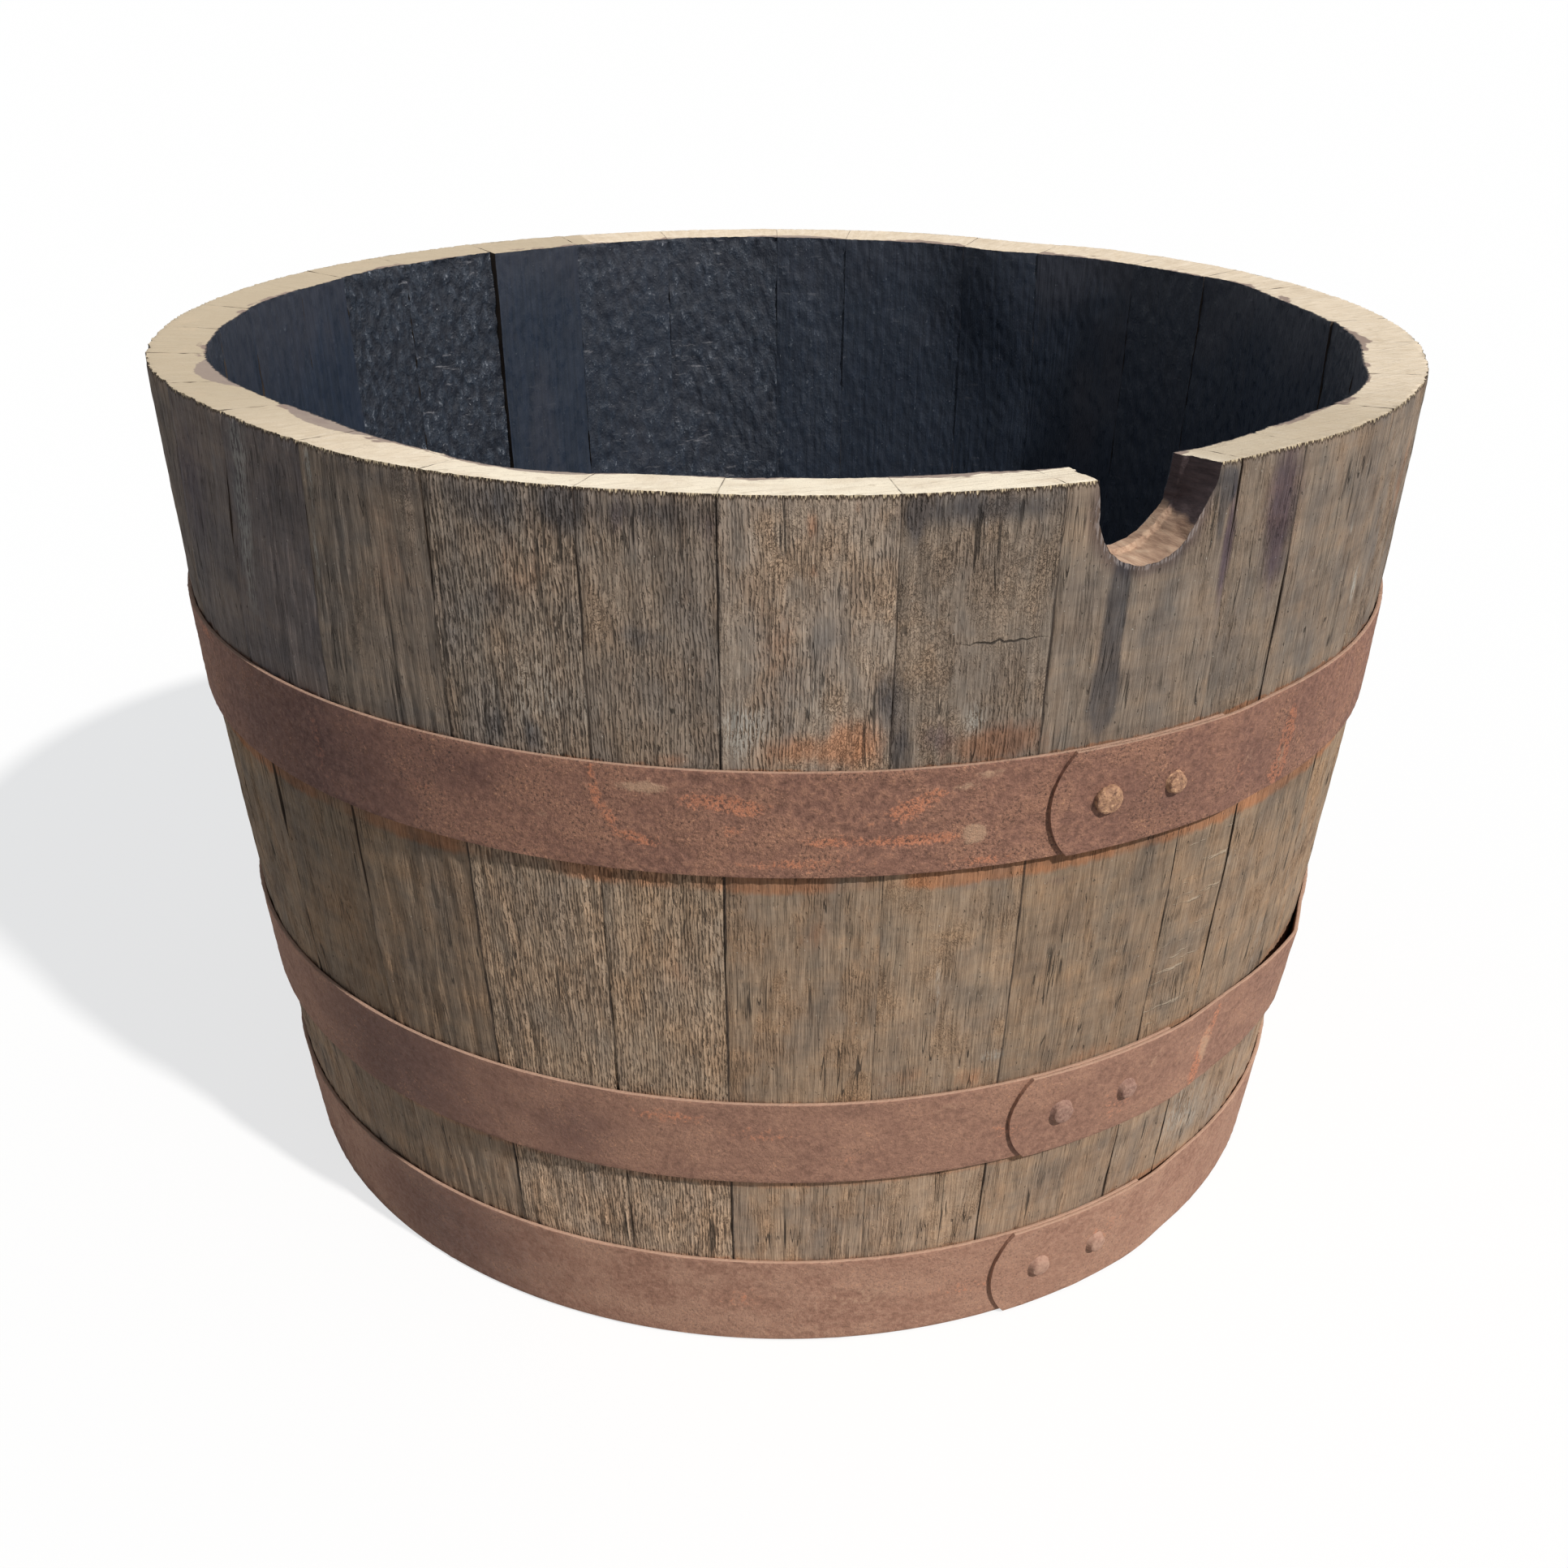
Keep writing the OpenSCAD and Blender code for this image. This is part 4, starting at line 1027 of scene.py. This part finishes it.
# Places where the rust was scraped to orange or rubbed to olive tan, and places darkened towards grey-blue:
# darker rust, and in the broad marks on the side turned from the lamp, painted shade. For each an angle in
# degrees, a height, half its width and half its height, and its strength.
mark_kinds = ("orange", "olive", "dull_and_shade")
hoop_marks = {
    "bilge_hoop": {
        "orange": [
            (-40.3, 0.328, 0.35, 0.004, 1.0), (-39.9, 0.3173, 0.45, 0.0055, 1.1),
            (-39.0, 0.3071, 0.5, 0.005, 1.0), (-37.6, 0.2995, 0.9, 0.0026, 1.0),
            (-36.0, 0.2967, 1.0, 0.0026, 0.8), (-31.5, 0.3185, 2.3, 0.0032, 1.0),
            (-29.0, 0.315, 1.6, 0.003, 0.8), (-30.0, 0.305, 0.8, 0.0025, 0.7),
            (-25.5, 0.289, 4.0, 0.003, 0.6), (-16.4, 0.299, 3.0, 0.0017, 1.2),
            (-23.0, 0.3, 1.4, 0.0018, 0.9), (-17.6, 0.3125, 0.9, 0.003, 0.9),
            (-16.4, 0.3165, 0.8, 0.0025, 0.9), (-15.2, 0.32, 0.8, 0.0022, 0.8),
            (19.1, 0.3125, 0.6, 0.009, 1.3), (18.8, 0.301, 0.75, 0.009, 1.5),
            (18.2, 0.289, 0.95, 0.005, 1.4), (12.3, 0.303, 1.0, 0.008, 0.5),
            (-11.0, 0.286, 3.2, 0.002, 0.7), (-66.0, 0.308, 0.8, 0.018, 0.6),
            (-55.0, 0.305, 2.6, 0.003, 0.5), (-19.0, 0.305, 8.0, 0.016, 0.28),
        ],
        "olive": [
            (-36.4, 0.3232, 1.7, 0.0026, 1.1), (-12.1, 0.2998, 0.8, 0.0042, 1.5),
            (-11.2, 0.3275, 1.3, 0.0018, 0.8), (-13.0, 0.3225, 1.3, 0.0022, 0.7),
            (-44.2, 0.305, 0.7, 0.0025, 0.6), (38.0, 0.318, 1.2, 0.008, 0.5),
            (18.6, 0.296, 0.5, 0.012, 0.7), (13.5, 0.306, 1.4, 0.006, 0.5),
        ],
        "dull_and_shade": [
            (-68.0, 0.3075, 14.0, 0.05, 0.9), (-50.0, 0.32, 4.0, 0.01, 0.4), (2.5, 0.3, 4.0, 0.015, 0.3),
            (19.5, 0.3075, 7.0, 0.05, 0.4), (4.0, 0.3075, 9.0, 0.05, 0.22),
        ],
    },
    "quarter_hoop": {
        "orange": [
            (18.4, 0.149, 0.5, 0.007, 0.9), (17.3, 0.1385, 0.7, 0.006, 1.1), (16.5, 0.125, 0.7, 0.008, 1.1),
            (16.1, 0.115, 0.7, 0.006, 1.0), (-36.0, 0.148, 3.5, 0.004, 0.7), (-28.0, 0.14, 4.0, 0.005, 0.5),
            (-6.0, 0.13, 2.0, 0.008, 0.5), (5.0, 0.125, 2.5, 0.01, 0.5), (-20.0, 0.125, 3.0, 0.006, 0.4),
        ],
        "olive": [
            (17.2, 0.133, 0.9, 0.012, 0.9), (-1.2, 0.1345, 0.9, 0.0045, 0.7), (9.0, 0.145, 2.0, 0.006, 0.5),
            (-12.0, 0.15, 3.0, 0.003, 0.4),
        ],
        "dull_and_shade": [(-64.0, 0.135, 12.0, 0.05, 0.8), (-44.0, 0.13, 4.0, 0.02, 0.5)],
    },
    "head_hoop": {
        "orange": [
            (-30.0, 0.03, 3.0, 0.008, 0.5), (-8.0, 0.025, 4.0, 0.006, 0.5), (8.0, 0.035, 3.0, 0.008, 0.5),
        ],
        "olive": [(-18.0, 0.03, 5.0, 0.01, 0.5), (4.0, 0.02, 4.0, 0.008, 0.4)],
        "dull_and_shade": [(-62.0, 0.028, 12.0, 0.05, 0.7)],
    },
}


def mark_hoop(strip, name, low, high, mean_r):
    """Note on each point of a flat strip how scraped it is, how darkened it is by darker rust and by painted
    shade, and how far under the upper edge. The back, which has few placed marks, gets more by chance."""
    start = hoop_facts[name]["rivet_at"] - lap_end
    turn = math.degrees(1 / mean_r)
    chance = Random(name)
    marks = {kind: list(hoop_marks[name][kind]) for kind in mark_kinds}
    for kind, much in (("orange", 16), ("olive", 7), ("dull_and_shade", 5)):
        grow = 3.0 if kind == "dull_and_shade" else 1.0
        for _ in range(much):
            marks[kind].append((
                chance.uniform(50, 275), chance.uniform(low, high), grow * chance.uniform(0.4, 3.0),
                grow * chance.uniform(0.002, 0.006), chance.uniform(0.4, 1.0)))
    far, most_marked = 6, 1.5
    rows = []
    for v in strip.data.vertices:
        angle = (start + v.co.x) * turn
        levels = []
        for kind in mark_kinds:
            total = 0.0
            for at, height, half_angle, half_height, strength in marks[kind]:
                aside = math.remainder(angle - at, 360) / half_angle
                off = aside ** 2 + ((v.co.z - height) / half_height) ** 2
                if off < far:
                    total += strength * math.exp(-0.7 * off)
            levels.append(min(total, most_marked))
        rows.append((*levels, 1.0))
    note(strip, "marks", rows)
    note(strip, "under_edge", [high - v.co.z for v in strip.data.vertices])


hoop_finishes = {
    "bilge_hoop": rusted_steel("bilge_rust", (0.234, 0.119, 0.087), (0.365, 0.188, 0.124), 0.9, 0.0),
    "quarter_hoop": rusted_steel("quarter_rust", (0.272, 0.146, 0.104), (0.375, 0.208, 0.142), 0.45, 3.0),
    "head_hoop": rusted_steel("head_rust", (0.325, 0.174, 0.121), (0.450, 0.266, 0.186), 0.45, 7.0),
}

for index, name in enumerate(hoop_facts):
    low, high, mean_r = hoop_span(name)
    length = 2 * math.pi * mean_r + hoop_facts[name]["pitch"] + 2 * lap_end - lap_play
    strip = flat_strip("steel_" + name, length, low, high)
    group(strip, "outside", lambda p: 1.0 if p.y > hoop_t - 1e-5 else 0.0)
    group(strip, "upper", lambda p: max(0.0, 1 - (high - p.z) / 0.006))
    work(strip, dent_texture, (0.04, 0.04, 0.025), 0.0006, "outside", "Y", 0.5, shift=index * 3.0)
    work(strip, rust_texture, (0.0045, 0.0045, 0.0045), 0.00045, "outside", "Y", 0.5, shift=index * 3.0 + 1)
    work(strip, dent_texture, (0.022, 0.022, 0.022), -0.0003, "upper", "Z", shift=index * 3.0 + 2)
    mark_hoop(strip, name, low, high, mean_r)
    roll_hoop(strip, name, low, high, mean_r)
    strip.data.materials.append(hoop_finishes[name])
    smooth(strip, 40)
    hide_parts(name)
    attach(strip, "root")


# ---- Rivets ----
# Two mild-steel rivets hold each lap. Their heads stand proud outside and are hammered uneven, and the
# inner ends are spread flush into the strip.

shank_r, tail_r = 0.003, 0.0045
head_side = 0.55
hammer_texture = scales("hammered")
# Each rivet head's radius at its foot and at its top, its height and how rough it is.
rivet_heads = {
    "bilge_hoop": ((0.0072, 0.0069, 0.0038, 1.0), (0.0064, 0.0048, 0.0040, 0.6)),
    "quarter_hoop": ((0.0069, 0.0053, 0.0040, 0.25), (0.0065, 0.0047, 0.0040, 0.25)),
    "head_hoop": ((0.0070, 0.0050, 0.0040, 0.2), (0.0065, 0.0046, 0.0040, 0.2)),
}


def rivet_rust(name, dark, middle, light, grainy):
    """Rust on a rivet, rubbed lighter than its hoop's where the head stands proud."""
    f = Finish(name)
    place = f.place()
    grains = f.noise(place, (520, 520, 520), detail=4, roughness=0.7)
    patches = f.noise(place, (170, 170, 170), detail=3)
    rust = f.ramp(grains, [(0.32, dark), (0.48, middle), (0.66, light)])
    rubbed = tuple((a + b) / 2 for a, b in zip(middle, light))
    rust = f.mix(f.between(patches, 0.42, 0.6, 0.1, 0.7), rust, rubbed)
    rust = f.mix(f.between(grains, 0.60, 0.68, 0.0, 0.7 * grainy), rust, (0.66, 0.43, 0.28))
    return f.finish(rust, 0.85, f.bump(grains, 0.0004 + 0.0010 * grainy, 0.9), shine=0.25)


rivet_rusts = {
    "bilge_hoop": ((0.08, 0.042, 0.032), (0.31, 0.17, 0.112), (0.58, 0.335, 0.19), 1.0),
    "quarter_hoop": ((0.17, 0.09, 0.07), (0.27, 0.155, 0.12), (0.38, 0.235, 0.18), 0.3),
    "head_hoop": ((0.25, 0.14, 0.1), (0.36, 0.21, 0.155), (0.46, 0.29, 0.215), 0.2),
}
rivet_finishes = {
    name: rivet_rust(name.replace("hoop", "rivet_rust"), *rust) for name, rust in rivet_rusts.items()
}


def turned_rivet(name, head, shift):
    """A rivet along y with its head's foot at the origin, shaped from a ball."""
    foot_r, top_r, head_h, rough = head
    clear_selection()
    bpy.ops.mesh.primitive_uv_sphere_add(segments=48, ring_count=40, radius=1, rotation=(math.pi / 2, 0, 0))
    rivet = bpy.context.object
    rivet.name = name
    bpy.ops.object.transform_apply(location=True, rotation=True, scale=True)
    grip = layer_step + hoop_t
    shoulder, crown = 0.80, 0.20
    spread_from, spread_run, blunt = 0.62, 0.38, 1.6
    for v in rivet.data.vertices:
        x, y, z = v.co
        out = -y
        around = math.hypot(x, z)
        if out >= head_side:
            top = (out - head_side) / (1 - head_side)
            height = head_h * (shoulder + crown * math.sin(top * math.pi / 2))
            reach = top_r * around / math.sqrt(1 - head_side ** 2)
        elif out >= 0:
            side = out / head_side
            height = head_h * shoulder * side ** 1.3
            reach = foot_r + (top_r - foot_r) * side ** 0.6
        else:
            height = max(-grip, out * grip * 1.2)
            reach = shank_r * min(1.0, around * blunt)
            if height < -grip * spread_from:
                spread = (tail_r - shank_r) * (-height / grip - spread_from) / spread_run
                reach = min(around * blunt, 1.0) * (shank_r + spread)
        grow = reach / around if around > 1e-6 else 0.0
        v.co = (x * grow, -height, z * grow)
    group(rivet, "head", lambda p: 1.0 if p.y < -1e-5 else 0.0)
    for texture, size, deep, after in ((hammer_texture, 0.0045, 0.0, 0), (dent_texture, 0.006, 0.0004, 1)):
        work(rivet, texture, (size,) * 3, deep + 0.0010 * rough, "head", "NORMAL", 0.5, shift=shift + after)
    return rivet


for index, name in enumerate(hoop_facts):
    low, high, mean_r = hoop_span(name)
    facts = hoop_facts[name]
    seat = mean_r + layer_step + hoop_t
    slope = math.atan2(outer_r(high) - outer_r(low), high - low)
    pair = []
    for k in range(2):
        rivet = turned_rivet(f"rivet_{index}_{k}", rivet_heads[name][k], index * 5.0 + k)
        angle = (facts["rivet_at"] + k * facts["pitch"]) / mean_r
        place = (Matrix.Translation((seat * math.sin(angle), -seat * math.cos(angle), (low + high) / 2))
                 @ Matrix.Rotation(angle, 4, "Z") @ Matrix.Rotation(slope, 4, "X"))
        rivet.data.transform(place)
        pair.append(rivet)
    clear_selection()
    for rivet in pair:
        rivet.select_set(True)
    bpy.context.view_layer.objects.active = pair[0]
    bpy.ops.object.join()
    rivets = pair[0]
    rivets.name = "steel_" + name.replace("_hoop", "_rivets")
    rivets.data.materials.append(rivet_finishes[name])
    smooth(rivets, 35)
    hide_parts(name.replace("_hoop", "_rivets"))
    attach(rivets, "root")


# ---- Head ----
# The cask head is the planter's floor: five oak boards on dowels, their bevelled edge in the croze. The
# upper side is charred like the staves, and drain holes are drilled through.

head_boards = ["head_cant_left", "head_quarter_left", "head_middle", "head_quarter_right", "head_cant_right"]


def head_char():
    """The upper side of the head: burnt black like the staves, with dirt dried into it."""
    f = Finish("head_char")
    place = f.place()
    lines = f.noise(place, (330, 12, 330), detail=4, roughness=0.6)
    flakes = f.noise(place, (130, 90, 130), detail=6, roughness=0.68)
    dirt = f.noise(place, (18, 18, 18), detail=5)
    coat = f.mix(f.between(lines, 0.35, 0.65), (0.015, 0.015, 0.018), (0.040, 0.036, 0.038))
    coat = f.mix(f.between(dirt, 0.45, 0.65, 0.0, 0.7), coat, (0.075, 0.056, 0.045))
    coat = f.mix(f.between(flakes, 0.58, 0.70, 0.0, 0.5), coat, (0.11, 0.11, 0.12))
    height = lines * 0.5 + flakes
    return f.finish(coat, f.between(flakes, 0.4, 0.7, 0.8, 0.5), f.bump(height, 0.0014, 0.8), shine=0.35)


def head_oak():
    """The under side and edges of the head boards, which were the outside of the cask."""
    f = Finish("head_oak")
    place = f.place()
    fibres = f.noise(place, (800, 40, 800), detail=5, roughness=0.62, distortion=0.4)
    streaks = f.noise(place, (120, 5, 120), detail=4)
    wood = f.ramp(fibres, [(0.3, (0.07, 0.052, 0.04)), (0.5, (0.2, 0.15, 0.108)), (0.7, (0.33, 0.26, 0.19))])
    wood = f.mix(0.7, wood, f.ramp(streaks, [(0.3, (0.6, 0.57, 0.55)), (0.7, (1.25, 1.2, 1.15))]), "MULTIPLY")
    return f.finish(wood, 0.85, f.bump(fibres, 0.0008, 0.8), shine=0.2)


head_finishes = [head_char(), head_oak()]
spare, proud, step_across, step_along, upward = 0.001, 0.0005, 0.003, 0.004, 0.2
for index, name in enumerate(head_boards):
    low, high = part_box(name)
    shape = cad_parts[name].copy()
    shape.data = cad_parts[name].data.copy()
    bpy.context.collection.objects.link(shape)
    shape.parent = None
    take_up(shape)
    bpy.ops.object.mode_set(mode="EDIT")
    bpy.ops.mesh.select_all(action="SELECT")
    bpy.ops.mesh.remove_doubles(threshold=1e-6)
    bpy.ops.object.mode_set(mode="OBJECT")
    board = block("oak_" + name, (low.x - spare, low.y - spare, low.z - spare),
                  (high.x + spare, high.y + spare, high.z + proud))
    divide(board, 0, (high.x - low.x) / 2, round((high.x - low.x) / step_across))
    divide(board, 1, (high.y - low.y) / 2, round((high.y - low.y) / step_along))
    group(board, "top", lambda p: 1.0 if p.z > high.z else 0.0)
    group(board, "under", lambda p: 1.0 if p.z < low.z else 0.0)
    work(board, wave_texture, (0.03, 0.12, 0.03), -0.0012 - proud, "top", "Z", shift=index)
    work(board, grain_texture, (0.005, 0.04, 0.02), -0.0012, "top", "Z", shift=index + 1)
    work(board, grain_texture, (0.004, 0.04, 0.02), 0.0022, "under", "Z", shift=index + 2)
    shape.data.materials.clear()
    board.data.materials.append(head_finishes[0])
    shape_with(board, "INTERSECT", shape)
    board.data.materials.clear()
    for finish in head_finishes:
        board.data.materials.append(finish)
    for face in board.data.polygons:
        face.material_index = 0 if face.normal.z > upward else 1
    smooth(board, 35)
    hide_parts(name)
    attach(board, "root")


def dowel_oak():
    """Clean pale wood, because the dowels lie inside the head."""
    f = Finish("dowel_oak")
    fibres = f.noise(f.place(), (60, 700, 700), detail=4)
    wood = f.ramp(fibres, [(0.35, (0.30, 0.20, 0.12)), (0.65, (0.50, 0.37, 0.23))])
    return f.finish(wood, 0.7, f.bump(fibres, 0.0003), shine=0.25)


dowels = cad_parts["head_dowels"]
dowels.data.materials.clear()
dowels.data.materials.append(dowel_oak())

bpy.data.objects.remove(ruler)


# ---- Floor, light and camera ----
# A pale floor that runs past the view, one soft lamp from the upper right and an even pale surround.


def wire(tree, kind, *inputs, **settings):
    """Add a node to a tree and give back its output. Its inputs go in order, as values or as outputs."""
    node = tree.nodes.new("ShaderNode" + kind)
    for name, value in settings.items():
        setattr(node, name, value)
    for socket, value in zip(node.inputs, inputs):
        if isinstance(value, bpy.types.NodeSocket):
            tree.links.new(value, socket)
        else:
            socket.default_value = value
    return node.outputs[0] if node.outputs else None


def seen(tree):
    """1 for rays that see the background directly, in a mirror or through glass."""
    path = tree.nodes.new("ShaderNodeLightPath").outputs
    total = path["Is Camera Ray"]
    for name in ("Is Glossy Ray", "Is Transmission Ray"):
        total = wire(tree, "Math", total, path[name], operation="MAXIMUM")
    return total


def blank_tree(holder):
    """The emptied node tree of a material or a world."""
    holder.use_nodes = True
    holder.node_tree.nodes.clear()
    return holder.node_tree


floor_size, floor_gap = 120, 0.0002
clear_selection()
bpy.ops.mesh.primitive_plane_add(size=floor_size, location=(0, 0, cad_box[0][2] - floor_gap))
floor = bpy.context.object
floor.name = "floor"
pale = bpy.data.materials.new("pale_floor")
tree = blank_tree(pale)
matt = wire(tree, "BsdfDiffuse", (0.46, 0.45, 0.43, 1))
paper = wire(tree, "BsdfDiffuse", (0.9, 0.9, 0.9, 1))
background = wire(tree, "MixShader", 0.72, paper, wire(tree, "Emission"))
wire(tree, "OutputMaterial", wire(tree, "MixShader", seen(tree), matt, background))
floor.data.materials.append(pale)

world = bpy.data.worlds.new("surround")
bpy.context.scene.world = world
tree = blank_tree(world)
sky = wire(tree, "Background", (0.83, 0.93, 1.06, 1), 0.26)
white = wire(tree, "Background", (1, 1, 1, 1))
wire(tree, "OutputWorld", wire(tree, "MixShader", seen(tree), sky, white))

camera_at = Vector((-0.4135, -0.8404, 0.6284))
camera_pitch, camera_roll, lens = 0.4578, 0.0063, 38.98
ahead = Vector((-camera_at.x, -camera_at.y, 0)).normalized()
right = Vector((ahead.y, -ahead.x, 0))
look = ahead * math.cos(camera_pitch) + Vector((0, 0, -math.sin(camera_pitch)))
up = right.cross(look)
turned = Matrix((
    right * math.cos(camera_roll) + up * math.sin(camera_roll),
    up * math.cos(camera_roll) - right * math.sin(camera_roll),
    -look)).transposed()
bpy.ops.object.camera_add(location=camera_at, rotation=turned.to_euler())
camera = bpy.context.object
camera.data.lens = lens
camera.data.sensor_width = 36
camera.data.clip_end = 200
bpy.context.scene.camera = camera

lamp_bearing, lamp_height = math.radians(46), math.radians(44)
toward = ahead * -math.cos(lamp_bearing) + right * math.sin(lamp_bearing)
lamp_from = toward * math.cos(lamp_height) + Vector((0, 0, math.sin(lamp_height)))
lamp_turn = lamp_from.to_track_quat("Z", "Y").to_euler()
bpy.ops.object.light_add(type="SUN", location=lamp_from * 3, rotation=lamp_turn)
lamp = bpy.context.object
lamp.name = "soft_lamp"
lamp.data.energy = 4.0
lamp.data.angle = math.radians(2.5)
lamp.data.color = (1.0, 0.97, 0.93)

bpy.context.scene.view_settings.view_transform = "Standard"
